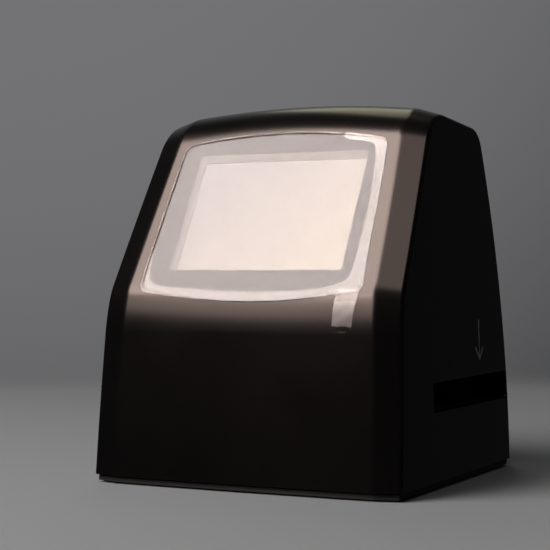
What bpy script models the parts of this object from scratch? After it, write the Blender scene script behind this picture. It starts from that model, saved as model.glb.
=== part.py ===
"""Desktop film negative scanner with a tilted colour display.

Run with: blender --background --factory-startup --python part.py

Units are metres.  The front faces -Y, +X is the viewer's right, +Z is up, and
the origin is under the middle of the casing, on the surface the feet rest on.
The casing is a lofted, drafted and chamfered shell.  A strip of film in its
holder goes through the long slot from side to side, between two guide plates.
Below them is a light box, above them the lens and the image sensor.
"""

import math

import bmesh
import bpy
from mathutils import Matrix, Vector

MM = 0.001

# Casing
WIDTH = 88.2 * MM
DEPTH = 89.0 * MM
WALL = 2.2 * MM
EDGE_ROUND = 1.0 * MM
GAP = 0.3 * MM
OVERRUN = 1.0 * MM
CASE_BOTTOM = 2.1 * MM
BEND_HEIGHT = 48.9 * MM
BEND_RADIUS = 18.0 * MM
SLANT_LENGTH = 48.8 * MM
TOP_ROLL_RADIUS = 17.0 * MM
REAR_ROLL_RADIUS = 9.0 * MM
BACK_RADIUS = 348.0 * MM
SIDE_BOW_RADIUS = 1610.0 * MM
CHAMFER_WIDTH = 6.8 * MM
CHAMFER_DEPTH = 2.1 * MM
FRONT_CROWN = 0.6 * MM
TOP_CROWN = 2.1 * MM
BACK_CROWN = 0.6 * MM
FRONT_LEAN = math.radians(4.7)
SCREEN_TILT = math.radians(29.9)
TOP_ANGLE = math.radians(94.0)
BACK_FOOT_ANGLE = math.radians(178.8)
SIDE_DRAFT = math.radians(0.9)
PANEL_SHARES = (-1.0, -0.75, -0.45, -0.15, 0.15, 0.45, 0.75, 1.0)
FRONT_STEPS, BEND_STEPS, SLANT_STEPS, TOP_ROLL_STEPS = 4, 3, 3, 9
TOP_STEPS, REAR_ROLL_STEPS, BACK_STEPS = 3, 6, 7
SIDE_ROWS = 14
SHARP = math.radians(15)

# Base plate and feet
BASE_BOTTOM = 0.5 * MM
BASE_SKIN = 1.3 * MM
BASE_INSET = 0.9 * MM
RIM_WALL = 1.2 * MM
FOOT_RADIUS = 5.0 * MM
FOOT_HEIGHT = 1.0 * MM
FOOT_SETBACK = 12.0 * MM
POST_RADIUS = 2.6 * MM
POST_SETBACK = 6.0 * MM
POST_REAR_SETBACK = 8.5 * MM

# Screws
BOSS_RADIUS = 3.2 * MM
BOSS_TOP = 16.0 * MM
BOSS_SETBACK = 7.5 * MM
BOSS_BITE = 0.6 * MM
CASE_SCREW_RADIUS = 1.1 * MM
CASE_SCREW_LENGTH = 9.0 * MM
CASE_HEAD_RADIUS = 2.3 * MM
CASE_HEAD_HEIGHT = 1.3 * MM
SMALL_SCREW_RADIUS = 0.7 * MM
SMALL_HEAD_RADIUS = 1.5 * MM
SMALL_HEAD_HEIGHT = 0.9 * MM
SMALL_POST_RADIUS = 2.0 * MM
DRIVE_RADIUS_SHARE = 0.55
DRIVE_DEPTH_SHARE = 0.6

# Screen, in the tilted plane of the slanted panel
SCREEN_SHIFT = 2.3 * MM
WINDOW_BORDER = 3.8 * MM
WINDOW_TAPER = 0.9 * MM
WINDOW_OVER_ROLL = 2.0 * MM
WINDOW_OVER_BEND = 0.1 * MM
WINDOW_BARREL = 3.5 * MM
WINDOW_CORNER_RADIUS = 2.5 * MM
WINDOW_THICKNESS = 1.0 * MM
MASK_WIDTH = 5.4 * MM
MASK_HEIGHT = 7.2 * MM
DISPLAY_SIDE = 4.5 * MM
DISPLAY_END = 3.25 * MM
DISPLAY_THICKNESS = 2.5 * MM
DISPLAY_DEPTH = 4.0 * MM
FRAME_LIP = 1.2 * MM
FRAME_WALL = 1.7 * MM
FRAME_DEPTH = 4.4 * MM
EAR_REACH = 5.2 * MM
EAR_WIDTH = 6.0 * MM
EAR_THICKNESS = 1.5 * MM
DISPLAY_SCREW_LENGTH = 2.6 * MM

# Protective film left on the screen, with its pull tab over the bend
FILM_MARGIN = 0.5 * MM
FILM_THICKNESS = 0.15 * MM
FILM_LIFT = 0.25 * MM
FILM_EDGE = 27.4 * MM
TAB_NEAR = 24.9 * MM
TAB_WIDTH = 6.5 * MM
TAB_TAPER = 0.6 * MM
TAB_LENGTH = 10.4 * MM
TAB_CORNER = 1.2 * MM
TAB_BEND_RADIUS = 9.0 * MM
TAB_BEND_STEPS = 5

# Film slot and the two guide plates behind it
SLOT_LENGTH = 58.0 * MM
SLOT_REAR_SETBACK = 1.08 * MM
SLOT_BOTTOM = 19.9 * MM
SLOT_HEIGHT = 7.5 * MM
SLOT_CORNER = 1.0 * MM
SLOT_CHAMFER = 0.6 * MM
GUIDE_THICKNESS = 2.0 * MM
RAIL_THICKNESS = 1.8 * MM
REAR_RAIL_SETBACK = 4.5 * MM
GUIDE_CORNER_CUT = 3.0 * MM
FRAME_GATE_X = 37.0 * MM
FRAME_GATE_Y = 25.0 * MM
SPRING_LENGTH = 26.0 * MM
SPRING_WIDTH = 4.0 * MM
SPRING_SAG = 0.9 * MM
SPRING_THICKNESS = 0.25 * MM
SPRING_STEPS = 8
ARROW_SETBACK = 22.0 * MM
ARROW_BOTTOM = 31.4 * MM
ARROW_LENGTH = 11.4 * MM
ARROW_HEAD = 3.4 * MM
ARROW_LINE = 0.9 * MM
ARROW_DEPTH = 0.35 * MM

# Light box
LIGHT_BOX_WIDTH = 46.0 * MM
LIGHT_BOX_DEPTH = 34.0 * MM
LIGHT_BOX_WALL = 1.5 * MM
DIFFUSER_THICKNESS = 1.5 * MM
DIFFUSER_SEAT = 1.0 * MM
BOARD_THICKNESS = 1.6 * MM
LED_SIZE = 5.0 * MM
LED_HEIGHT = 1.6 * MM
LED_PITCH_X = 16.0 * MM
LED_PITCH_Y = 12.0 * MM

# Main board and its sockets
BOARD_LIFT = 3.6 * MM
BOARD_SIDE_ROOM = 5.6 * MM
BOARD_FRONT_ROOM = 5.0 * MM
BOARD_REAR_ROOM = 1.9 * MM
MAIN_POST_SETBACK = 2.2 * MM
MAIN_POST_MARGIN = 4.0 * MM
MAIN_SCREW_LENGTH = 4.4 * MM
PORT_GAP = 0.5 * MM
USB_PLACE_SHARE = -0.6
USB_WIDTH = 7.7 * MM
USB_HEIGHT = 3.9 * MM
SOCKET_DEPTH = 9.0 * MM
SOCKET_WALL = 0.5 * MM
SOCKET_RECESS = 1.2 * MM
TONGUE_WIDTH = 5.0 * MM
TONGUE_HEIGHT = 1.0 * MM
JACK_PLACE_SHARE = 0.4
JACK_WIDTH = 6.4 * MM
JACK_BORE = 1.75 * MM
CARD_SETBACK = 1.0 * MM
CARD_TUNNEL_GAP = 1.2 * MM
CARD_LENGTH = 26.0 * MM
CARD_HEIGHT = 3.4 * MM
CARD_RECESS = 0.8 * MM

# Lens and sensor, on the optical axis over the middle of the slot
TUNNEL_WIDTH = 43.0 * MM
TUNNEL_DEPTH = 31.0 * MM
TUNNEL_TOP_SIZE = 23.0 * MM
TUNNEL_HEIGHT = 26.0 * MM
TUNNEL_WALL = 1.5 * MM
HOLDER_SIZE = 22.0 * MM
HOLDER_FLANGE = 2.0 * MM
HOLDER_RADIUS = 8.5 * MM
HOLDER_HEIGHT = 12.4 * MM
BARREL_RADIUS = 6.0 * MM
BARREL_LENGTH = 9.0 * MM
BARREL_WALL = 1.0 * MM
BARREL_STOP = 2.6 * MM
LENS_EDGE = 0.8 * MM
LENS_BULGE = 0.9 * MM
LENS_RINGS = 3
SENSOR_BOARD_SIZE = 30.0 * MM
SENSOR_BOARD_THICKNESS = 1.2 * MM
SENSOR_SIZE = 11.0 * MM
SENSOR_HEIGHT = 1.4 * MM
SENSOR_SCREW_OFFSET = 9.2 * MM
SENSOR_SCREW_LENGTH = 3.0 * MM

# Buttons on the top and the board under them
MAIN_KEY_EXTRA = 1.0 * MM
KEY_SPACE = 0.95 * MM
KEY_PROUD = 0.9 * MM
KEY_DOME = 0.5 * MM
KEY_FLANGE = 1.0 * MM
KEY_FLANGE_THICKNESS = 0.8 * MM
KEY_STEM_RADIUS = 1.6 * MM
KEY_STEM_LENGTH = 1.0 * MM
KEY_TRAVEL_GAP = 0.7 * MM
KEY_BOARD_EDGE = 2.5 * MM
KEY_BOARD_DEPTH = 15.0 * MM
KEY_BOARD_THICKNESS = 1.2 * MM
KEY_SCREW_LENGTH = 4.0 * MM
SWITCH_SIZE = 6.0 * MM
SWITCH_HEIGHT = 3.1 * MM
PLUNGER_RADIUS = 1.7 * MM
PLUNGER_HEIGHT = 0.9 * MM

# Ribbon cables
RIBBON_THICKNESS = 0.3 * MM
RIBBON_STEPS = 14
DISPLAY_RIBBON_WIDTH = 16.0 * MM
DISPLAY_RIBBON_SHARE = 0.2
SENSOR_RIBBON_WIDTH = 12.0 * MM
KEY_RIBBON_WIDTH = 8.0 * MM
KEY_RIBBON_REACH_SHARE = 1.08
RIBBON_LANDING = 4.0 * MM
RIBBON_SLACK = 7.0 * MM

ROUND_SIDES = 20
SMALL_SIDES = 12

SIGNS = (-1, 1)
CORNERS = {"front_left": (-1, -1), "front_right": (1, -1), "rear_left": (-1, 1), "rear_right": (1, 1)}


# Scene and helpers

for old in list(bpy.data.objects):
    bpy.data.objects.remove(old)

SCANNER = bpy.data.collections.new("film_scanner")
CUTTERS = bpy.data.collections.new("film_scanner_cutters")
bpy.context.scene.collection.children.link(SCANNER)
bpy.context.scene.collection.children.link(CUTTERS)


def finish(name, colour, roughness, metallic=0.0):
    """One Principled material."""
    material = bpy.data.materials.new(name)
    material.use_nodes = True
    shader = material.node_tree.nodes["Principled BSDF"]
    shader.inputs["Base Color"].default_value = (*colour, 1.0)
    shader.inputs["Roughness"].default_value = roughness
    shader.inputs["Metallic"].default_value = metallic
    material.diffuse_color = (*colour, 1.0)
    return material


CASE_BLACK = finish("satin_black_casing", (0.012, 0.012, 0.013), 0.38)
INNER_BLACK = finish("matt_black_plastic", (0.02, 0.02, 0.02), 0.7)
KEY_BLACK = finish("gloss_black_button", (0.02, 0.02, 0.022), 0.25)
RUBBER = finish("black_rubber", (0.03, 0.03, 0.03), 0.85)
WINDOW_GLOSS = finish("tinted_window", (0.03, 0.03, 0.035), 0.05)
FILM_CLEAR = finish("clear_film", (0.75, 0.75, 0.76), 0.15)
DISPLAY_GLASS = finish("display_glass", (0.25, 0.24, 0.25), 0.2)
WHITE_PLASTIC = finish("white_plastic", (0.85, 0.85, 0.83), 0.5)
BOARD_GREEN = finish("circuit_board", (0.02, 0.16, 0.06), 0.5)
STEEL = finish("plated_steel", (0.6, 0.6, 0.6), 0.3, 1.0)
LENS_GLASS = finish("coated_lens", (0.35, 0.3, 0.5), 0.05)
CHIP_BLACK = finish("chip_black", (0.03, 0.03, 0.035), 0.6)
RIBBON_WHITE = finish("flat_cable", (0.8, 0.78, 0.7), 0.5)


def place_object(name, data, material, parent):
    """Link a piece, or a tool when it has no material, into its collection."""
    piece = bpy.data.objects.new(name, data)
    if material:
        data.materials.append(material)
        SCANNER.objects.link(piece)
    else:
        CUTTERS.objects.link(piece)
        piece.hide_render = True
        piece.display_type = "WIRE"
    piece.parent = parent
    return piece


class Shape:
    """Primitives gathered in one mesh, which then becomes an object."""

    def __init__(self):
        self.bm = bmesh.new()

    def block(self, low, high):
        """A box between two opposite corners."""
        low, high = Vector(low), Vector(high)
        size = high - low
        matrix = Matrix.Translation((low + high) / 2) @ Matrix.Diagonal((*size, 1))
        bmesh.ops.create_cube(self.bm, size=1, matrix=matrix)
        return self

    def rod(self, radius, base, height, sides=ROUND_SIDES, turn=None, top_radius=None):
        """A cylinder or cone along +Z from its base, turned afterwards if asked."""
        matrix = Matrix.Translation(Vector(base)) @ (turn or Matrix())
        bmesh.ops.create_cone(
            self.bm, cap_ends=True, segments=sides, radius1=radius,
            radius2=radius if top_radius is None else top_radius, depth=height,
            matrix=matrix @ Matrix.Translation((0, 0, height / 2)))
        return self

    def loft(self, rows):
        """Quads between rows of points."""
        grid = [[self.bm.verts.new(point) for point in row] for row in rows]
        for lower, upper in zip(grid, grid[1:]):
            for i in range(len(lower) - 1):
                self.bm.faces.new((lower[i], lower[i + 1], upper[i + 1], upper[i]))
        return self

    def prism(self, outline, low, high, place=None):
        """A flat outline in X and Y raised from one height to another, then placed."""
        verts = [self.bm.verts.new((x, y, low)) for x, y in outline]
        raised = bmesh.ops.extrude_face_region(self.bm, geom=[self.bm.faces.new(verts)])
        tops = [item for item in raised["geom"] if isinstance(item, bmesh.types.BMVert)]
        bmesh.ops.translate(self.bm, verts=tops, vec=(0, 0, high - low))
        bmesh.ops.transform(self.bm, matrix=place or Matrix(), verts=verts + tops)
        return self

    def done(self, name, material=None, parent=None, at=(0, 0, 0)):
        """Make the object, with its origin where the piece is placed."""
        bmesh.ops.recalc_face_normals(self.bm, faces=self.bm.faces)
        mesh = bpy.data.meshes.new(name)
        self.bm.to_mesh(mesh)
        self.bm.free()
        piece = place_object(name, mesh, material, parent)
        piece.location = at
        return piece


def add_boolean(piece, tool, operation="DIFFERENCE"):
    modifier = piece.modifiers.new(tool.name, "BOOLEAN")
    modifier.operation = operation
    modifier.solver = "EXACT"
    modifier.object = tool


def add_bevel(piece, width, segments=2, angle=SHARP):
    modifier = piece.modifiers.new("rounded_edges", "BEVEL")
    modifier.width = width
    modifier.segments = segments
    modifier.limit_method = "ANGLE"
    modifier.angle_limit = angle


def turned(name, outline, material, at, parent=None, sides=ROUND_SIDES):
    """A turned piece from (radius, height) points that run down its outer side."""
    mesh = bpy.data.meshes.new(name)
    points = [(radius, 0, height) for radius, height in outline]
    mesh.from_pydata(points, [(i, i + 1) for i in range(len(points) - 1)], [])
    piece = place_object(name, mesh, material, parent)
    piece.location = at
    screw = piece.modifiers.new("turned", "SCREW")
    screw.steps = sides
    screw.render_steps = sides
    screw.use_merge_vertices = True
    screw.merge_threshold = 0.01 * MM
    return piece


def screw_outline(radius, length, head_radius, head_height):
    """A pan-head screw pointing up: shank above, head below, with a drive recess."""
    drive_radius = head_radius * DRIVE_RADIUS_SHARE
    drive_depth = head_height * DRIVE_DEPTH_SHARE
    return [(0, length), (radius, length - radius), (radius, 0), (head_radius, 0),
            (head_radius, -head_height + drive_depth / 2),
            (head_radius - drive_depth / 2, -head_height), (drive_radius, -head_height),
            (0, -head_height + drive_depth)]


def offset_outline(outline, distance):
    """Move each side of an anticlockwise outline inwards, with mitred corners."""
    points = [Vector(point) for point in outline]
    moved = []
    for i, point in enumerate(points):
        before = (point - points[i - 1]).normalized()
        after = (points[(i + 1) % len(points)] - point).normalized()
        inwards = Vector((-before.y - after.y, before.x + after.x)).normalized()
        along = inwards.dot(Vector((-before.y, before.x)))
        moved.append(point + inwards * (distance / along))
    return [tuple(point) for point in moved]


def rounded_rectangle(half_x, half_y, radius, steps=2):
    """An anticlockwise rectangle with round corners, about its centre."""
    points = []
    for quarter, (sx, sy) in enumerate(((1, 1), (-1, 1), (-1, -1), (1, -1))):
        centre = (sx * (half_x - radius), sy * (half_y - radius))
        for i in range(steps + 1):
            angle = math.radians(90) * (quarter + i / steps)
            points.append((centre[0] + radius * math.cos(angle),
                           centre[1] + radius * math.sin(angle)))
    return points


# Casing surface

def half_width(z):
    """Half the width over the side edges at a height: drafted and a little bowed."""
    return WIDTH / 2 - z * math.tan(SIDE_DRAFT) - z * z / (2 * SIDE_BOW_RADIUS)


def normal(angle):
    """Outward direction of the profile: 0 is forwards, 90 degrees up, 180 back."""
    return Vector((0, -math.cos(angle), math.sin(angle)))


def travel(angle):
    """Direction in which the profile runs, up the front and down the back."""
    return Vector((0, math.sin(angle), math.cos(angle)))


def straight(path, length, pieces):
    start, angle = path[-1]
    for i in range(1, pieces + 1):
        path.append((start + travel(angle) * (length * i / pieces), angle))


def bend(path, radius, end_angle, pieces):
    start, angle = path[-1]
    centre = start - normal(angle) * radius
    for i in range(1, pieces + 1):
        turned_to = angle + (end_angle - angle) * i / pieces
        path.append((centre + normal(turned_to) * radius, turned_to))


FRONT_FOOT_Y = FRONT_CROWN - DEPTH / 2
BACK_FOOT = Vector((0, DEPTH / 2 - BACK_CROWN, CASE_BOTTOM))
BEND_CORNER = Vector((0, FRONT_FOOT_Y + (BEND_HEIGHT - CASE_BOTTOM) * math.tan(FRONT_LEAN),
                      BEND_HEIGHT))
BEND_TANGENT = BEND_RADIUS * math.tan((SCREEN_TILT - FRONT_LEAN) / 2)


def side_profile():
    """The panel's crease line seen from the side, from the front foot to the rear foot."""
    below = OVERRUN / math.cos(FRONT_LEAN)
    foot = Vector((0, FRONT_FOOT_Y, CASE_BOTTOM)) - travel(FRONT_LEAN) * below
    path = [(foot, FRONT_LEAN)]
    straight(path, (BEND_CORNER - foot).length - BEND_TANGENT, FRONT_STEPS)
    bend(path, BEND_RADIUS, SCREEN_TILT, BEND_STEPS)
    straight(path, SLANT_LENGTH - BEND_TANGENT, SLANT_STEPS)
    bend(path, TOP_ROLL_RADIUS, TOP_ANGLE, TOP_ROLL_STEPS)
    # The rear roll touches the straight top and the long arc of the back.
    start = path[-1][0]
    back_centre = BACK_FOOT - normal(BACK_FOOT_ANGLE) * BACK_RADIUS
    reach = BACK_RADIUS - REAR_ROLL_RADIUS
    aside = start - normal(TOP_ANGLE) * REAR_ROLL_RADIUS - back_centre
    along = aside.dot(travel(TOP_ANGLE))
    top_length = math.sqrt(along ** 2 - aside.length_squared + reach ** 2) - along
    roll_centre = aside + travel(TOP_ANGLE) * top_length
    straight(path, top_length, TOP_STEPS)
    bend(path, REAR_ROLL_RADIUS, math.atan2(roll_centre.z, -roll_centre.y), REAR_ROLL_STEPS)
    bend(path, BACK_RADIUS, BACK_FOOT_ANGLE + OVERRUN / BACK_RADIUS, BACK_STEPS)
    return path


def crown_height(angle):
    """How far the middle of the panel stands out: flat where the screen is."""
    stops = ((FRONT_LEAN, FRONT_CROWN), (SCREEN_TILT, 0.0), (TOP_ANGLE, TOP_CROWN),
             (BACK_FOOT_ANGLE, BACK_CROWN))
    for (low, first), (high, second) in zip(stops, stops[1:]):
        if angle <= high:
            share = max(0.0, (angle - low) / (high - low))
            return first + (second - first) * share
    return BACK_CROWN


def cross_section(point, angle):
    """Points across the casing: side edge, crease, crowned panel, crease, side edge."""
    half = half_width(point.z) - CHAMFER_WIDTH
    edge = point - normal(angle) * CHAMFER_DEPTH
    reach = half_width(edge.z)
    row = [Vector((-reach, edge.y, edge.z))]
    for share in PANEL_SHARES:
        crowned = point + normal(angle) * (crown_height(angle) * (1 - share ** 2))
        row.append(Vector((half * share, crowned.y, crowned.z)))
    row.append(Vector((reach, edge.y, edge.z)))
    return row


def side_wall(front, top, rear, sign):
    """Rows of points that fill one side between its front, top and rear edges."""
    rows = []
    for j in range(len(front)):
        v = j / (len(front) - 1)
        row = []
        for i in range(len(top)):
            u = i / (len(top) - 1)
            across = front[j].lerp(rear[j], u)
            upwards = front[0].lerp(rear[0], u).lerp(top[i], v)
            corners = front[0].lerp(rear[0], u).lerp(top[0].lerp(top[-1], u), v)
            point = across + upwards - corners
            row.append(Vector((sign * half_width(point.z), point.y, point.z)))
        rows.append(row)
    return rows


def top_height(x, y, depth=0.0):
    """Height of the casing's upper surface, or of the skin at a depth below it."""
    skin = []
    for point, angle in PROFILE:
        if angle > SCREEN_TILT:
            share = x / (half_width(point.z) - CHAMFER_WIDTH)
            skin.append(point + normal(angle) * (crown_height(angle) * (1 - share ** 2) - depth))
    for first, second in zip(skin, skin[1:]):
        if first.y <= y <= second.y:
            return first.z + (second.z - first.z) * (y - first.y) / (second.y - first.y)
    return skin[0].z


def front_y(z):
    return FRONT_FOOT_Y + (z - CASE_BOTTOM) * math.tan(FRONT_LEAN)


def back_y(z):
    centre = BACK_FOOT - normal(BACK_FOOT_ANGLE) * BACK_RADIUS
    return centre.y + math.sqrt(BACK_RADIUS ** 2 - (z - centre.z) ** 2)


def level_outline(z, inset):
    """The casing's outline at a height of its lower part, moved inwards."""
    half = half_width(z) - CHAMFER_WIDTH
    reach = half_width(z)
    points = [(-reach, front_y(z) + CHAMFER_DEPTH)]
    points += [(half * s, front_y(z) - FRONT_CROWN * (1 - s * s)) for s in PANEL_SHARES]
    points += [(reach, front_y(z) + CHAMFER_DEPTH), (reach, back_y(z) - CHAMFER_DEPTH)]
    points += [(-half * s, back_y(z) + BACK_CROWN * (1 - s * s)) for s in PANEL_SHARES]
    points += [(-reach, back_y(z) - CHAMFER_DEPTH)]
    return offset_outline(points, inset)


PROFILE = side_profile()

# Heights and places that follow from the sizes above
BOSS_BOTTOM = CASE_BOTTOM + WALL - GAP - GAP
BASE_TOP = BASE_BOTTOM + BASE_SKIN
RIM_TOP = BOSS_BOTTOM - GAP
SLOT_TOP = SLOT_BOTTOM + SLOT_HEIGHT
SLOT_MIDDLE = (SLOT_BOTTOM + SLOT_TOP) / 2
SLOT_REAR = back_y(SLOT_MIDDLE) - CHAMFER_DEPTH - SLOT_REAR_SETBACK
SLOT_FRONT = SLOT_REAR - SLOT_LENGTH
AXIS_Y = (SLOT_FRONT + SLOT_REAR) / 2
CHANNEL_BOTTOM = SLOT_BOTTOM + GAP
CHANNEL_TOP = SLOT_TOP - GAP
GUIDE_BOTTOM = CHANNEL_BOTTOM - GUIDE_THICKNESS
UPPER_GUIDE_TOP = CHANNEL_TOP + GUIDE_THICKNESS
GUIDE_HALF = half_width(UPPER_GUIDE_TOP) - WALL - GAP - GAP
BOARD_BOTTOM = UPPER_GUIDE_TOP + BOARD_LIFT
BOARD_TOP = BOARD_BOTTOM + BOARD_THICKNESS
MAIN_BOARD_HALF = half_width(BOARD_TOP) - WALL - BOARD_SIDE_ROOM
MAIN_BOARD_FRONT = front_y(BOARD_TOP) + WALL + BOARD_FRONT_ROOM
MAIN_BOARD_REAR = back_y(BOARD_TOP) - WALL - BOARD_REAR_ROOM
CARD_FRONT = MAIN_BOARD_FRONT + CARD_SETBACK
CARD_REAR = AXIS_Y - TUNNEL_DEPTH / 2 - CARD_TUNNEL_GAP
USB_X = MAIN_BOARD_HALF * USB_PLACE_SHARE
JACK_X = MAIN_BOARD_HALF * JACK_PLACE_SHARE
TUNNEL_BOTTOM = UPPER_GUIDE_TOP + GAP
TUNNEL_TOP = TUNNEL_BOTTOM + TUNNEL_HEIGHT
HOLDER_BOTTOM = TUNNEL_TOP + GAP
HOLDER_TOP = HOLDER_BOTTOM + HOLDER_HEIGHT
SENSOR_BOARD_BOTTOM = HOLDER_TOP + GAP

# The screen is centred on the slant, a little towards the roll
SCREEN_RISE = SLANT_LENGTH / 2 + SCREEN_SHIFT
SCREEN_ORIGIN = BEND_CORNER + travel(SCREEN_TILT) * SCREEN_RISE
WINDOW_HALF = half_width(SCREEN_ORIGIN.z) - CHAMFER_WIDTH - WINDOW_BORDER
WINDOW_TOP = SLANT_LENGTH - SCREEN_RISE + WINDOW_OVER_ROLL
WINDOW_BOTTOM = SCREEN_RISE + WINDOW_OVER_BEND
OPENING_HALF_WIDTH = WINDOW_HALF - MASK_WIDTH
OPENING_HALF_HEIGHT = (WINDOW_TOP + WINDOW_BOTTOM) / 2 - MASK_HEIGHT
DISPLAY_WIDTH = 2 * (OPENING_HALF_WIDTH + DISPLAY_SIDE)
DISPLAY_HEIGHT = 2 * (OPENING_HALF_HEIGHT + DISPLAY_END)

# The buttons share the flat top evenly, and their board hangs below them
TOP_ENDS = [point for point, angle in PROFILE if abs(angle - TOP_ANGLE) < SHARP / 100]
KEY_ROW_Y = (TOP_ENDS[0].y + TOP_ENDS[-1].y) / 2
KEY_POST_X = half_width(TOP_ENDS[0].z) - CHAMFER_WIDTH
KEY_ROOM = KEY_POST_X - SMALL_POST_RADIUS - GAP - GAP
KEY_PITCH = (KEY_ROOM + (MAIN_KEY_EXTRA + KEY_SPACE) / 2) / 2.5
KEY_RADIUS = (KEY_PITCH - KEY_FLANGE - KEY_FLANGE - MAIN_KEY_EXTRA - KEY_SPACE) / 2
KEY_BOARD_HALF = KEY_POST_X + KEY_BOARD_EDGE
KEY_PLACES = {"power_button": -2, "back_button": -1, "scan_button": 0,
              "forward_button": 1, "menu_button": 2}


def key_radius(name):
    return KEY_RADIUS + (MAIN_KEY_EXTRA if name == "scan_button" else 0)


def flange_top(name):
    """Height of a button's flange, just under the lowest wall that it reaches."""
    x, rim = KEY_PLACES[name] * KEY_PITCH, key_radius(name) + KEY_FLANGE
    return min(top_height(x + dx, KEY_ROW_Y + dy, WALL)
               for dx in (-rim, rim) for dy in (-rim, rim)) - GAP


SWITCH_TOP = (min(flange_top(name) for name in KEY_PLACES) - KEY_FLANGE_THICKNESS
              - KEY_STEM_LENGTH - KEY_TRAVEL_GAP)
KEY_BOARD_TOP = SWITCH_TOP - PLUNGER_HEIGHT - SWITCH_HEIGHT - GAP

SCREEN_PLANE = bpy.data.objects.new("screen_plane", None)
SCREEN_PLANE.location = SCREEN_ORIGIN
SCREEN_PLANE.rotation_euler = (math.radians(90) - SCREEN_TILT, 0, 0)
SCANNER.objects.link(SCREEN_PLANE)
SCREEN_TURN = Matrix.Rotation(math.radians(90) - SCREEN_TILT, 4, "X")


def on_screen(x, up, out):
    """World position of a point given in the tilted plane of the screen."""
    return SCREEN_ORIGIN + SCREEN_TURN @ Vector((x, up, out))


def boss_places():
    """Where the four case screws stand, by corner name."""
    z = BOSS_BOTTOM
    x = half_width(z) - WALL - BOSS_RADIUS + BOSS_BITE
    y = (front_y(z) + BOSS_SETBACK, back_y(z) - BOSS_SETBACK)
    return {name: (sx * x, y[sy > 0]) for name, (sx, sy) in CORNERS.items()}


EAR_X = DISPLAY_WIDTH / 2 + GAP + FRAME_WALL + EAR_REACH / 2
EAR_PLACES = {"left": (-EAR_X, 0), "right": (EAR_X, 0)}
EAR_TOP = -(DISPLAY_DEPTH + GAP)


# Casing with its bosses, openings and marks

def window_outline(margin):
    """The barrel-shaped outline of the screen window, anticlockwise from lower left."""
    def edge(half, corner, middle, sign):
        return [(-sign * half * s, sign * (corner + (middle - corner) * (1 - s * s)))
                for s in PANEL_SHARES]

    lower = edge(WINDOW_HALF + WINDOW_TAPER, WINDOW_BOTTOM - WINDOW_BARREL, WINDOW_BOTTOM, -1)
    upper = edge(WINDOW_HALF - WINDOW_TAPER, WINDOW_TOP - WINDOW_BARREL, WINDOW_TOP, 1)
    points = [Vector(point) for point in lower + upper]
    rounded = []
    for i, point in enumerate(points):
        before, after = points[i - 1] - point, points[(i + 1) % len(points)] - point
        if before.angle(after) > math.radians(150):
            rounded.append(point)
            continue
        start = point + before.normalized() * WINDOW_CORNER_RADIUS
        end = point + after.normalized() * WINDOW_CORNER_RADIUS
        for t in (0.0, 0.25, 0.5, 0.75, 1.0):
            rounded.append(start.lerp(point, t).lerp(point.lerp(end, t), t))
    return offset_outline([tuple(point) for point in rounded], -margin)


def arrow_outline():
    """A thin arrow that points down, as (along Y, up) from its tip."""
    line, head = ARROW_LINE / 2, ARROW_HEAD
    barb = ARROW_LINE * math.sqrt(2)
    return [(0, 0), (head, head), (head, head + barb), (line, barb + line),
            (line, ARROW_LENGTH), (-line, ARROW_LENGTH), (-line, barb + line),
            (-head, head + barb), (-head, head)]


def make_casing():
    sections = [cross_section(point, angle) for point, angle in PROFILE]
    shape = Shape().loft(sections)
    for column, sign in ((0, -1), (-1, 1)):
        edge = [row[column] for row in sections]
        front = edge[:SIDE_ROWS + 1]
        rear = edge[:-SIDE_ROWS - 2:-1]
        top = edge[SIDE_ROWS:len(edge) - SIDE_ROWS]
        shape.loft(side_wall(front, top, rear, sign))
    bmesh.ops.remove_doubles(shape.bm, verts=shape.bm.verts, dist=GAP / 100)
    everything = list(shape.bm.verts) + list(shape.bm.edges) + list(shape.bm.faces)
    bmesh.ops.bisect_plane(shape.bm, geom=everything, plane_co=(0, 0, CASE_BOTTOM),
                           plane_no=(0, 0, -1), clear_outer=True)
    casing = shape.done("upper_casing", CASE_BLACK)
    skin = casing.modifiers.new("moulded_wall", "SOLIDIFY")
    skin.thickness = WALL
    skin.offset = -1
    skin.use_even_offset = True
    add_bevel(casing, EDGE_ROUND)
    return casing


def casing_bosses():
    """Screw bosses: four at the base, two behind the screen, two over the keys."""
    bosses, bores = Shape(), Shape()
    bore = CASE_SCREW_RADIUS + GAP
    for x, y in boss_places().values():
        bosses.rod(BOSS_RADIUS, (x, y, BOSS_BOTTOM), BOSS_TOP - BOSS_BOTTOM)
        bores.rod(bore, (x, y, BOSS_BOTTOM - OVERRUN), CASE_SCREW_LENGTH + OVERRUN,
                  sides=SMALL_SIDES)
    bore = SMALL_SCREW_RADIUS + GAP
    for x, up in EAR_PLACES.values():
        height = DISPLAY_DEPTH - WALL / 2
        bosses.rod(SMALL_POST_RADIUS, on_screen(x, up, -DISPLAY_DEPTH), height,
                   sides=SMALL_SIDES, turn=SCREEN_TURN)
        bores.rod(bore, on_screen(x, up, -DISPLAY_DEPTH - OVERRUN),
                  DISPLAY_SCREW_LENGTH - EAR_THICKNESS + OVERRUN,
                  sides=SMALL_SIDES, turn=SCREEN_TURN)
    for sign in SIGNS:
        x = sign * KEY_POST_X
        low = KEY_BOARD_TOP + GAP
        high = top_height(x, KEY_ROW_Y, WALL / 2)
        bosses.rod(SMALL_POST_RADIUS, (x, KEY_ROW_Y, low), high - low, sides=SMALL_SIDES)
        bores.rod(bore, (x, KEY_ROW_Y, low - OVERRUN), KEY_SCREW_LENGTH + OVERRUN,
                  sides=SMALL_SIDES)
    return bosses.done("casing_bosses"), bores.done("casing_bores")


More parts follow.
